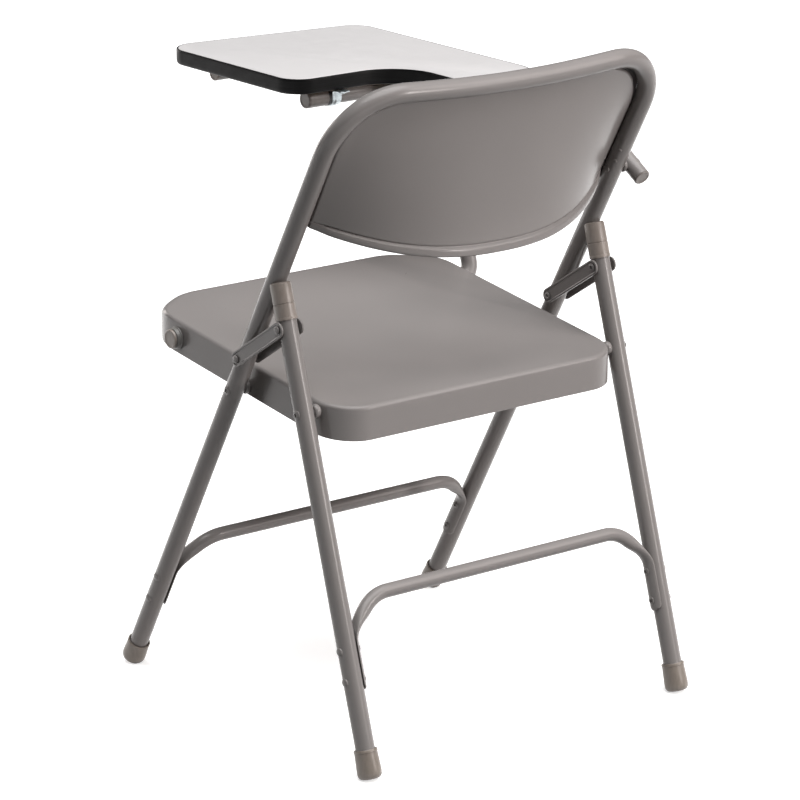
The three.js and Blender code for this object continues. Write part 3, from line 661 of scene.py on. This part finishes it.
def brace_rivet(side, at, s):
    """Domed outside the leg, a hollow eyelet inside the brace's flat end."""
    inner = TRACK - TUBE_R - GAP - 2 * FLAT_HALF_THICK
    outer = TRACK + TUBE_R - 0.4
    profile = [[inner + 1.4, 0], [inner + 1.4, 1.5], [inner - 0.9, 1.7], [inner - 1.3, 2.3]]
    profile += [[inner - 1.2, 3.4], [inner - 0.6, 4.3], [inner, 4.5]]
    profile += [[inner, 3], [outer - 1.2, 3], [outer - 1.2, 5.2]]
    for k in range(6):
        a = k * math.pi / 10
        profile.append([outer + BRACE_HEAD_RISE * math.sin(a), BRACE_HEAD_R * math.cos(a) ** 0.8])
    profile.append([outer + BRACE_HEAD_RISE, 0])
    centre = at(0, s)
    return turned(profile, side, centre[1:])


for end, at, rivets, height, body in (
    ("front", front_at, FRONT_RIVETS, FRONT_BRACE_S, "front_frame"),
    ("rear", rear_at, REAR_RIVETS, REAR_BRACE_S, "rear_legs"),
):
    make(f"fine_{end}_brace", brace(at, height, rivets), PAINT, body)
    for name, side in SIDES:
        for level, s in zip(("lower", "upper"), rivets):
            rivet = f"fine_{end}_brace_rivet_{name}_{level}"
            make(rivet, brace_rivet(side, at, s), RIVET_PAINT, body)


# ---- feet, rear legs and their caps ----
FOOT_TOP = 35
REAR_TUBE_END = 537
CAP_LOW = 517
CAP_CUT = (480, 760)  # stretch of the front frame that hollows out the caps


def foot(side, at, low):
    """A moulded foot: rolled lip, slight flare and a rounded tread worn flat on the floor."""
    top = FOOT_TOP
    profile = [[low, 0], [low, 8.5], [low + 0.6, 10.6], [low + 1.9, 12.4], [low + 4.2, 13.6]]
    profile += [[low + 7.5, 14], [low + 13, 13.9], [top - 7, 13.3], [top - 4, 13.15], [top - 3.5, 13.15]]
    profile += [[top - 3.1, 13.5], [top - 1, 13.5], [top, 12.9], [top, 12.1], [top - 0.9, 11.6]]
    profile += [[top - 3, 11.2], [TUBE_START, 11.2], [TUBE_START, 0]]
    base = at(side * TRACK, 0)
    points, faces = lathe(profile, base, at(0, 1) - at(0, 0))
    points[:, 2] = np.maximum(points[:, 2], 0)
    return points, faces


def leg_cap(side):
    """A sleeve over the leg's top: a bead round its foot, a groove at its middle and a round crown."""
    profile = [[0, 0], [0, 11.3], [-0.2, 12.0], [0.3, 12.4], [2.4, 12.45], [2.9, 12.2], [3.6, 12.2]]
    profile += [[16.6, 12.2], [17.3, 12.2], [17.6, 11.6], [18.5, 11.6], [18.8, 12.2], [19.6, 12.2]]
    profile += [[31, 12.1], [39.2, 11.9], [41.2, 11.2], [42, 10], [42.2, 8], [42.2, 0]]
    return lathe(profile, rear_at(side * TRACK, CAP_LOW), rear_at(0, 1) - rear_at(0, 0))


def subtract(piece, shape):
    """Cuts a shape out of a piece and keeps the piece's finish."""
    cutter_mesh = bpy.data.meshes.new("cutter")
    cutter_mesh.from_pydata(place(shape[0]).tolist(), [], shape[1])
    cutter = add("cutter", cutter_mesh)
    modifier = piece.modifiers.new("cut", "BOOLEAN")
    modifier.operation = "DIFFERENCE"
    modifier.solver = "EXACT"
    modifier.object = cutter
    bpy.context.view_layer.update()
    graph = bpy.context.evaluated_depsgraph_get()
    cut_mesh = bpy.data.meshes.new_from_object(piece.evaluated_get(graph))
    piece.modifiers.clear()
    piece.data = cut_mesh
    cut_mesh.set_sharp_from_angle(angle=math.radians(34))
    bpy.data.objects.remove(cutter)


for name, side in SIDES:
    make(f"fine_front_foot_{name}", foot(side, front_at, 5), FOOT_TAN, "front_frame")
    make(f"fine_rear_foot_{name}", foot(side, rear_at, 1.5), FOOT_TAN, "rear_legs")
    leg = sweep([rear_at(side * TRACK, s) for s in (TUBE_START, 150, 350, REAR_TUBE_END)], TUBE_R)
    make(f"fine_rear_leg_{name}", leg, PAINT, "rear_legs")
    cap = make(f"fine_rear_leg_cap_{name}", leg_cap(side), TAN, "rear_legs")
    upright = sweep([front_at(side * TRACK, s) for s in CAP_CUT], TUBE_R + GAP)
    subtract(cap, upright)


# ---- seat ----
def seat_top(y):
    """The height of the pan's undished top."""
    return SEAT_REAR_Z + SEAT_SLOPE * (SEAT_REAR - y)


CORNER_STEPS = 16
SIDE_STEPS = 14


def seat_outline(inset):
    """The seat's outline moved in by the inset, with the same number of points whatever the inset."""
    points = []
    corners = ((1, 1, SEAT_REAR_R), (-1, 1, SEAT_REAR_R), (-1, -1, SEAT_FRONT_R), (1, -1, SEAT_FRONT_R))
    for k, (sx, sy, radius) in enumerate(corners):
        r = max(1.5, radius - inset)
        cx = sx * (SEAT_HALF - inset - r)
        cy = (SEAT_REAR - inset - r) if sy > 0 else (SEAT_FRONT + inset + r)
        for i in range(CORNER_STEPS + 1):
            a = (k + i / CORNER_STEPS) * math.pi / 2
            points.append((cx + r * math.cos(a), cy + r * math.sin(a), a))
    full = []
    for here, there in zip(points, points[1:] + points[:1]):
        full.append(here)
        along_side = abs(there[2] % (2 * math.pi) - here[2] % (2 * math.pi)) < 1e-6
        if along_side and there[:2] != here[:2]:
            for j in range(1, SIDE_STEPS):
                full.append(tuple(mix(np.array(here), np.array(there[:2] + here[2:]), j / SIDE_STEPS)))
    return full


DISH = 5.5
DISH_MARGIN = 7  # level strip along the sides and the rear
DISH_MARGIN_FRONT = 25


def dish(x, y):
    """How far the seat's top is pressed down: nothing at its edges, most in its middle."""
    across = smooth_step((SEAT_HALF - abs(x) - DISH_MARGIN) / 95)
    back = smooth_step((SEAT_REAR - y - DISH_MARGIN) / 85)
    front = smooth_step((y - SEAT_FRONT - DISH_MARGIN_FRONT) / 120)
    return DISH * across * back * front


EDGE_R_SIDE = 4.5
EDGE_R_FRONT = 19
SHEET = 1.6
HEM = 9  # how far the apron's hem turns in
TOP_REACH = 160  # from the turned edge to the innermost ring of the top
TOP_SHARES = (0.012, 0.025, 0.045, 0.075, 0.11, 0.16, 0.22, 0.3, 0.4, 0.5, 0.62, 0.75, 0.88, 1.0)
HEM_TURN = ((0.4, -0.5), (1.3, -0.8), (HEM, -0.8), (HEM + 0.6, -0.1), (HEM, 0.7), (SHEET + 0.8, 0.7))


def seat_ring(level, inner=0.0):
    """One ring of the pan: levels 0 to 1 turn over the edge, above them lies the top, below the apron."""
    ring = []
    for _, _, a in seat_outline(0):
        front = smooth_step((-math.sin(a) - 0.2) / 0.7)
        r = mix(EDGE_R_SIDE, EDGE_R_FRONT, front)
        if level < 0:
            inset, height = 0.0, mix(-r, -SEAT_DEPTH, -level)
        elif level <= 1:
            turn = level * math.pi / 2
            inset, height = r * (1 - math.cos(turn)), -r * (1 - math.sin(turn))
        else:
            inset, height = r + (level - 1) * TOP_REACH, 0.0
        ring.append((inset + inner, height - inner))
    outlines = {}
    points = []
    for i, (inset, height) in enumerate(ring):
        key = round(inset, 3)
        if key not in outlines:
            outlines[key] = seat_outline(inset)
        x, y, _ = outlines[key][i]
        points.append((x, y, seat_top(y) + height - dish(x, y)))
    return np.array(points)


def seat_pan():
    """Pressed pan: waterfall front, dished top, deep apron with a hem turned in under it."""
    over = [k / 8 for k in range(9)]
    top = [1 + share for share in TOP_SHARES]
    apron = [-1.0, -0.97, -0.85, -0.5, -0.15]
    outside = [seat_ring(level) for level in reversed(apron + over + top)]
    hem = []
    for inset, rise in HEM_TURN:
        outline = seat_outline(inset)
        hem.append(np.array([(x, y, seat_top(y) - SEAT_DEPTH + rise) for x, y, _ in outline]))
    inside = [seat_ring(level, SHEET) for level in apron[1:] + over + top]
    return skin(outside + hem + inside)


BUSH_R = 12
BUSH_BORE = ARM_R + 0.9
BUSH_DEPTH = 6
FLUSH_END = [[-GAP, BUSH_R], [-GAP, BUSH_BORE]]
COLLAR_END = [[0.2, BUSH_R], [0.2, 13.2], [0.8, 13.6], [1.8, 13.3], [2.2, 12.5], [5.6, 12.2]]
COLLAR_END += [[6.6, 11.6], [6.8, BUSH_BORE]]


def axle_bush(side, end):
    """A bush in the pan's rim; its outer end lists [out from the rim, radius]."""
    profile = [[SEAT_HALF - BUSH_DEPTH, BUSH_BORE], [SEAT_HALF - BUSH_DEPTH, BUSH_R]]
    profile += [[SEAT_HALF + out, radius] for out, radius in end]
    return ring_of(profile, side, POST_PIVOT)


make("fine_seat_pan", seat_pan(), PAINT, "seat", sharp=40)
make("fine_axle_bush_right", axle_bush(-1, FLUSH_END), BUSH, "seat")
make("fine_axle_bush_left", axle_bush(1, COLLAR_END), BUSH, "seat")


# ---- rivets, bolts and spacers ----
def pivot_rivet(inner, outer, pin, head, dome, hollow=False):
    """A tubular rivet: a rolled eyelet inside, and outside a domed head, which may be hollow too.

    The dome is as high as its share of the head's radius.
    """
    hole = 0.34 * head
    profile = [[inner + 2.5, 0], [inner + 2.5, hole], [inner - 0.6, hole], [inner - 1, 0.5 * head]]
    profile += [[inner - 0.9, 0.72 * head], [inner - 0.4, 0.95 * head], [inner, head], [inner, pin]]
    profile += [[outer, pin], [outer, head]]
    for k in range(8):
        a = k * math.pi / 14
        profile.append([outer + 0.2 + dome * head * math.sin(a), head * math.cos(a)])
    if hollow:
        profile = profile[:-2]
        profile += [[outer + 0.2 + dome * head, hole + 0.5], [outer - 0.8, hole], [outer - 0.8, 0]]
    else:
        profile.append([outer + 0.2 + dome * head, 0])
    return profile


def barrel(x0, x1, inner, outer):
    """A spacer with a bulged side, as a closed ring of [x, radius]."""
    profile = [[x0, inner]]
    for k in range(9):
        t = k / 8
        profile.append([mix(x0, x1, t), outer - 1.6 * (2 * t - 1) ** 4])
    profile.append([x1, inner])
    return profile


PAN_INSIDE = SEAT_HALF - SHEET - GAP
RIVET_SEAT = TRACK + TUBE_R - 0.9  # a head beds a little into the tube's round side
PIVOT_HEAD_R = 5.6
SPACER_R = 8


def painted(name, shape, body):
    """A painted rivet, bolt or spacer."""
    make(f"fine_{name}", shape, RIVET_PAINT, body)


for name, side in SIDES:
    rivet = pivot_rivet(PAN_INSIDE, RIVET_SEAT, PIN_R, PIVOT_HEAD_R, 0.3, hollow=True)
    painted(f"seat_pivot_rivet_{name}", turned(rivet, side, SEAT_PIVOT), "front_frame")
    spacer = barrel(SEAT_HALF + GAP, TRACK - TUBE_R - GAP, PIN_R + 0.2, SPACER_R)
    painted(f"seat_pivot_spacer_{name}", ring_of(spacer, side, SEAT_PIVOT), "front_frame")
    rivet = pivot_rivet(LINK_IN - GAP, LINK_OUT + LINK_THICK + GAP, LINK_PIN_R, LINK_HEAD_R, 0.46)
    painted(f"link_front_rivet_{name}", turned(rivet, side, LINK_FRONT), "front_frame")
    bolt = pivot_rivet(PAN_INSIDE - 6, RIVET_SEAT, PIN_R, PIVOT_HEAD_R, 0.3, hollow=True)
    painted(f"leg_pivot_bolt_{name}", turned(bolt, side, LEG_PIVOT), "rear_legs")
    spacer = barrel(SEAT_HALF - 0.8, TRACK - TUBE_R - GAP, PIN_R + 0.2, SPACER_R)
    painted(f"leg_pivot_spacer_{name}", ring_of(spacer, side, LEG_PIVOT), "rear_legs")


# ---- links ----
LINK_BEVEL = 0.7


def stadium(length, radius, steps=18):
    """A plate's outline with round ends, as [along, across]."""
    points = []
    for middle, start in ((0, math.pi / 2), (length, -math.pi / 2)):
        for k in range(steps + 1):
            a = start + math.pi * k / steps
            points.append((middle + radius * math.cos(a), radius * math.sin(a)))
    return points


def link_plate(side, near, far):
    """A stamped strap between two x planes, with rounded edges and a shallow channel in its far face."""
    run = LINK_REAR - LINK_FRONT
    length = np.linalg.norm(run)
    along = np.array([0, *run / length])
    across = np.array([0, -along[2], along[1]])
    base = np.array([0, *LINK_FRONT])
    away = 1 if far > near else -1

    def ring(x, radius):
        outline = stadium(length, radius)
        return np.array([base + (side * x, 0, 0) + u * along + v * across for u, v in outline])

    bevel = LINK_BEVEL
    profile = [(near, bevel), (near + away * bevel * 0.3, bevel * 0.3), (near + away * bevel, 0)]
    profile += [(far - away * bevel, 0), (far - away * bevel * 0.3, bevel * 0.3), (far, bevel)]
    profile += [(far, 2.0), (far - away * 0.35, 2.5), (far - away * 0.8, 2.9)]
    return skin([ring(x, LINK_R - inset) for x, inset in profile])


def rear_rivet_half(near, far, head, dome, hollow):
    """Half of the link's rear rivet: a shank through the plate, and a dome or an eyelet on it."""
    away = 1 if far > near else -1
    profile = [[near, 0], [near, LINK_PIN_R], [far, LINK_PIN_R], [far, head]]
    for k in range(7):
        a = k * math.pi / 14
        profile.append([far + away * (0.3 + dome * math.sin(a)), mix(head, 0.4 * head, 1 - math.cos(a))])
    if hollow:
        profile += [[far + away * (dome - 2.0), 0.36 * head], [far + away * (dome - 2.0), 0]]
    else:
        profile.append([far + away * (0.35 + dome), 0])
    return profile


for name, side in SIDES:
    body = f"link_{name}"
    outer = link_plate(side, LINK_OUT, LINK_OUT + LINK_THICK)
    make(f"fine_link_outer_{name}", outer, LINK_PAINT, body)
    inner = link_plate(side, LINK_IN + LINK_THICK, LINK_IN)
    make(f"fine_link_inner_{name}", inner, LINK_PAINT, body)
    half = rear_rivet_half(LINK_OUT + GAP, LINK_OUT + LINK_THICK + GAP, LINK_HEAD_R, 1.9, False)
    painted(f"link_rear_rivet_outer_{name}", turned(half, side, LINK_REAR), body)
    half = rear_rivet_half(LINK_IN + LINK_THICK - GAP, LINK_IN - GAP, LINK_HEAD_R, 0.8, True)
    painted(f"link_rear_rivet_inner_{name}", turned(half, side, LINK_REAR), body)


# ---- post ----
def plug(end, direction, head, rim=ARM_R):
    """A tube's end plug: its head's edge is rounded and its face has a shallow ring."""
    profile = [[-10, 0], [-10, 8], [0, 8], [0.2, rim]]
    edge = min(1.2, head * 0.8)
    for k in range(1, 6):
        a = k * math.pi / 10
        profile.append([head - edge * (1 - math.sin(a)), rim - edge * (1 - math.cos(a))])
    profile += [[head, rim - 2.4], [head - 0.5, rim - 3.0], [head - 0.5, 0]]
    return lathe(profile, end, direction, 40)


SLEEVE_END_X = -65.5
SLEEVE_R = ARM_R + 0.55
COLLAR_R = SLEEVE_R + 0.5
post_y, post_z = POST_PIVOT
tab_y, tab_z = TABLET_PIVOT
axle_end = (AXLE_END_X, post_y, post_z)
post_end = (POST_END_X, tab_y, tab_z)
post_corners = [axle_end, (POST_X, post_y, post_z), (POST_X, tab_y, tab_z), post_end]
make("fine_post_tube", sweep(bend(post_corners, POST_BEND_R), ARM_R), PAINT, "arm_post")
make("fine_post_axle_cap", plug(axle_end, (1, 0, 0), 3.2, 11.2), TAN, "arm_post")

sleeve = [[SLEEVE_END_X, ARM_R], [SLEEVE_END_X, SLEEVE_R], [POST_END_X - 0.7, SLEEVE_R]]
sleeve += [[POST_END_X - 0.2, SLEEVE_R - 0.35], [POST_END_X - 0.2, ARM_R]]
end_piece = joined(plug(post_end, (1, 0, 0), 2.2, SLEEVE_R - 0.1), ring_of(sleeve, 1, TABLET_PIVOT))
make("fine_post_end_plug", end_piece, SHADED_TAN, "arm_post")
collar = [[SLEEVE_END_X - 2.4, ARM_R], [SLEEVE_END_X - 2.2, COLLAR_R]]
collar += [[SLEEVE_END_X - 0.3, COLLAR_R], [SLEEVE_END_X - 0.1, ARM_R]]
collar_ring = ring_of(collar, 1, TABLET_PIVOT)
make("post_sleeve_collar", collar_ring, COLLAR, "arm_post", ["post_end_plug"])


# ---- tablet arm ----
arm_y, arm_z = ARM_PIVOT
arm_run = (tab_z - arm_z) / math.tan(ARM_RISE)
arm_end = (ARM_END_X, ARM_FRONT_Y, tab_z)
tail_direction = np.array([0, math.cos(ARM_RISE), -math.sin(ARM_RISE)])
tail = np.array([ARM_X, arm_y, arm_z]) + ARM_TAIL * tail_direction
arm_corners = [tail, (ARM_X, arm_y - arm_run, tab_z), (ARM_X, ARM_FRONT_Y, tab_z), arm_end]
make("fine_arm_tube", sweep(bend(arm_corners, ARM_BEND_R), ARM_R), PAINT, "tablet_arm")
tail_plug = plug(tail, tail_direction, 1.6, ARM_R - 0.3)
make("fine_arm_rear_plug", tail_plug, SHADED_TAN, "tablet_arm")
make("fine_arm_front_plug", plug(arm_end, (1, 0, 0), 3.2), TAN, "tablet_arm")

ARM_INNER = -ARM_X - ARM_R - GAP
ARM_OUTER = -ARM_X + ARM_R + GAP
BOLT_SEAT = TRACK - TUBE_R  # where the bolt's head meets the upright's inner side
bolt = [[BOLT_SEAT - 1, 0], [BOLT_SEAT - 1, 2.8], [BOLT_SEAT, 4.4], [BOLT_SEAT + 1.5, 4.6]]
bolt += [[BOLT_SEAT + 1.5, PIN_R], [ARM_INNER, PIN_R], [ARM_INNER, 0]]
painted("arm_pivot_bolt", turned(bolt, -1, ARM_PIVOT), "front_frame")
spacer = barrel(TRACK + TUBE_R + GAP, ARM_INNER, PIN_R + 0.3, 7.6)
painted("arm_pivot_spacer", ring_of(spacer, -1, ARM_PIVOT), "front_frame")
nut = [[ARM_OUTER - 2, 0], [ARM_OUTER - 2, 5.4], [ARM_OUTER - 0.5, 5.4], [ARM_OUTER + 0.3, 4.6]]
nut += [[ARM_OUTER + 0.8, 3.2], [ARM_OUTER + 0.8, 2.2], [ARM_OUTER + 0.2, 1.9], [ARM_OUTER + 0.1, 0]]
painted("arm_pivot_nut", turned(nut, -1, ARM_PIVOT), "tablet_arm")


# ---- tablet ----
TABLET_RIGHT = -282
TABLET_REAR = -85
TABLET_STEP = -223.5
ELBOW_X = -166
TABLET_CORNERS = (
    (TABLET_RIGHT, -461.3, 30),
    (-3, -494.5, 36),
    (-5.5, TABLET_STEP, 32),
    (ELBOW_X, TABLET_STEP, 60),
    (ELBOW_X, TABLET_REAR, 50),
    (TABLET_RIGHT, TABLET_REAR, 50),
)


def tablet_outline(inset, z):
    """The tablet's outline moved in by the inset: rounded corners, and one hollow for the sitter."""
    points = []
    count = len(TABLET_CORNERS)
    for k, (x, y, radius) in enumerate(TABLET_CORNERS):
        corner = np.array([x, y], float)
        back = np.array(TABLET_CORNERS[k - 1][:2], float) - corner
        on = np.array(TABLET_CORNERS[(k + 1) % count][:2], float) - corner
        back /= np.linalg.norm(back)
        on /= np.linalg.norm(on)
        between = math.acos(back @ on)
        hollow = back[0] * on[1] - back[1] * on[0] > 0
        middle = (back + on) / np.linalg.norm(back + on)
        centre = corner + middle * radius / math.sin(between / 2)
        r = radius + inset if hollow else radius - inset
        turn = (math.pi - between) * (-1 if hollow else 1)
        start = math.atan2(-middle[1], -middle[0]) - turn / 2
        steps = max(10, round(abs(turn) / 0.07))
        for i in range(steps + 1):
            a = start + turn * i / steps
            points.append((centre[0] + r * math.cos(a), centre[1] + r * math.sin(a), z))
    return np.array(points)


def outline_skin(profile, loop=False):
    """A solid round the tablet's outline from [inset, z] points."""
    return skin([tablet_outline(inset, z) for inset, z in profile], loop=loop)


core = outline_skin([(BAND + 0.3, BOARD_LOW), (BAND + 0.3, TOP_Z - 1.3)])
make("fine_tablet_board", core, CORE, "tablet_arm")
sheet_profile = [(BAND + 0.1, TOP_Z - 1), (BAND + 0.1, TOP_Z - 0.45)]
sheet_profile += [(BAND + 0.35, TOP_Z - 0.12), (BAND + 0.8, TOP_Z)]
make("fine_tablet_laminate", outline_skin(sheet_profile), LAMINATE, "tablet_arm")
band_profile = [(BAND, TOP_Z - 0.5), (1.3, TOP_Z - 0.15), (0.55, TOP_Z - 0.6), (0.1, TOP_Z - 1.8)]
band_profile += [(0, TOP_Z - 4), (0, BOARD_LOW + 5), (0.15, BOARD_LOW + 3.2), (0.7, BOARD_LOW + 1.5)]
band_profile += [(1.7, BOARD_LOW + 0.4), (3.0, BOARD_LOW), (4.6, BOARD_LOW - 0.15)]
band_profile += [(5.0, BOARD_LOW + 0.1), (BAND, BOARD_LOW + 0.4)]
band = outline_skin(band_profile, loop=True)
make("fine_tablet_edge_band", band, BAND_BLACK, "tablet_arm")


# ---- clips ----
def clip(x, tube_y):
    """A zinc strap under a cross tube, its edges turned down a little, with a flange up to the board."""
    r = ARM_R + 0.2
    up = BOARD_LOW - tab_z - 0.4
    # The strap's middle line in [y, z] about the tube, from the hooked edge round to the flange's end.
    line = [(-r - 1.2, up)]
    line += [(-r - 1.2, up * (1 - k / 3)) for k in range(1, 3)]
    line += [((r + 0.75) * -math.cos(a), (r + 0.75) * -math.sin(a)) for a in np.linspace(0, math.pi, 25)]
    line += [(r + 0.75, up * k / 4) for k in range(1, 3)]
    for a in np.linspace(math.pi, math.pi / 2, 7):
        line.append((r + 3.4 + 2.6 * math.cos(a), up - 3.4 + 2.6 * math.sin(a)))
    line += [(mix(r + 3.4, r + CLIP_FLANGE, k / 4), up - 0.8) for k in range(1, 5)]
    half = CLIP_WIDTH / 2
    across = [-half, -half + 0.5, -half + 1.5, -2.9, -2.0, 2.0, 2.9, half - 1.5, half - 0.5, half]
    lift = [-0.35, -0.1, 0.0, 0.0, 0.55, 0.55, 0.0, 0.0, -0.1, -0.35]
    line = np.array(line)
    tangent = np.gradient(line, axis=0)
    tangent /= np.linalg.norm(tangent, axis=1, keepdims=True)
    grid = []
    for dx, rise in zip(across, lift):
        column = []
        for (y, z), (ty, tz) in zip(line, tangent):
            column.append((x + dx, tube_y + y - tz * -rise, tab_z + z + ty * -rise))
        grid.append(column)
    return sheet_solid(grid, CLIP_SHEET * 0.8)


def screw(x, tube_y):
    """A pan-head screw under the clip's flange, with a recess."""
    top = BOARD_LOW - CLIP_SHEET - 0.4
    profile = [[0, 0], [0, 4.4], [0.5, 4.45], [1.3, 4.1], [2.2, 3.0], [2.6, 1.9]]
    profile += [[2.6, 1.7], [1.2, 1.3], [1.1, 0]]
    return lathe(profile, (x, tube_y + ARM_R + 10.8, top), (0, 0, -1), 28)


CLIPS = (("rear", -76, tab_y), ("front_left", -80, ARM_FRONT_Y), ("front_right", -190, ARM_FRONT_Y))
for name, x, y in CLIPS:
    make(f"fine_clip_{name}", clip(x, y), ZINC, "tablet_arm", sharp=45)
    make(f"fine_clip_screw_{name}", screw(x, y), ZINC, "tablet_arm")


# ---- room, light and camera ----
FLOOR_GLOW = 0.62  # a lit table: shadows on it stay faint
FLOOR_REACH = 60


def floor():
    """A wide pale floor, which sends no scattered light on to the chair."""
    mesh = bpy.data.meshes.new("floor")
    corners = [(x * FLOOR_REACH, y * FLOOR_REACH, 0) for x, y in ((-1, -1), (1, -1), (1, 1), (-1, 1))]
    mesh.from_pydata(corners, [], [(0, 1, 2, 3)])
    surface = Finish("pale_floor", 0.9, specular=0.1)
    surface.colour(surface.blend(surface.noise(3), (0.80, 0.80, 0.80), (0.82, 0.82, 0.82)))
    surface.shader.inputs["Emission Color"].default_value = (1, 1, 1, 1)
    surface.shader.inputs["Emission Strength"].default_value = FLOOR_GLOW
    mesh.materials.append(surface.material)
    plane = add("floor", mesh)
    plane.visible_diffuse = False


WARM = (1.0, 0.93, 0.90)
LIGHT_AIM_Z = 420


def stand(thing, azimuth, elevation, distance, aim):
    """Turns a lamp or camera to the aim from its place round it.

    Azimuth 0 is in front of the sitter and 90 at the sitter's left.
    """
    a, e = math.radians(azimuth), math.radians(elevation)
    away = Vector((math.sin(a) * math.cos(e), -math.cos(a) * math.cos(e), math.sin(e)))
    thing.location = Vector(aim) + away * distance
    thing.rotation_euler = (Vector(aim) - thing.location).to_track_quat("-Z", "Y").to_euler()


def area_lamp(name, width, height, power):
    """A warm rectangular lamp, not yet placed."""
    light = bpy.data.lights.new(name, "AREA")
    light.shape = "RECTANGLE"
    light.size, light.size_y = width, height
    light.energy = power
    light.color = WARM
    return add(name, light)


def soft_box(name, azimuth, elevation, distance, width, height, power):
    """A soft box aimed at the chair's middle."""
    lamp = area_lamp(name, width, height, power)
    stand(lamp, azimuth, elevation, distance, place((0, 0, LIGHT_AIM_Z)))


def sky(strength, colour):
    """An even, weak light from all round."""
    world = bpy.data.worlds.new("studio")
    world.use_nodes = True
    background = world.node_tree.nodes["Background"]
    background.inputs["Color"].default_value = (*colour, 1)
    background.inputs["Strength"].default_value = strength
    bpy.context.scene.world = world


def sun(name, azimuth, elevation, strength, angle):
    """A far lamp, as soft as its angle is wide."""
    light = bpy.data.lights.new(name, "SUN")
    light.energy = strength
    light.angle = math.radians(angle)
    stand(add(name, light), azimuth, elevation, 5, (0, 0, 0))


def floor_light(width, depth, power):
    """Light that a pale table sends up under the chair, seen only on matt surfaces."""
    lamp = area_lamp("bounce", width, depth, power)
    lamp.location = place((0, 0, 2))
    lamp.rotation_euler = (math.pi, 0, 0)
    lamp.visible_camera = False
    lamp.visible_glossy = False


CAMERA_AZIMUTH = 142.65
CAMERA_ELEVATION = 16.62
CAMERA_DISTANCE = 4.504
CAMERA_AIM = (3.93, -3.0, 342.11)
LENS = 174.8
SENSOR_WIDTH = 36


def camera():
    """A long lens from behind, at the sitter's left."""
    data = bpy.data.cameras.new("camera")
    data.lens = LENS
    data.sensor_width = SENSOR_WIDTH
    data.clip_end = 200
    viewer = add("camera", data)
    stand(viewer, CAMERA_AZIMUTH, CAMERA_ELEVATION, CAMERA_DISTANCE, place(CAMERA_AIM))
    bpy.context.scene.camera = viewer


floor()
sky(0.045, (1.0, 0.97, 0.95))
sun("overhead", azimuth=190, elevation=80, strength=3.85, angle=60)
soft_box("key", azimuth=222, elevation=30, distance=3.2, width=1.3, height=2.4, power=48)
soft_box("strip", azimuth=202.5, elevation=13, distance=3.4, width=0.10, height=0.9, power=38)
soft_box("rim", azimuth=48, elevation=18, distance=3.4, width=0.5, height=2.4, power=11)
soft_box("front", azimuth=5, elevation=12, distance=3.4, width=1.2, height=1.6, power=26)
floor_light(width=0.9, depth=0.5, power=0.6)
camera()
bpy.context.scene.view_settings.view_transform = "Standard"
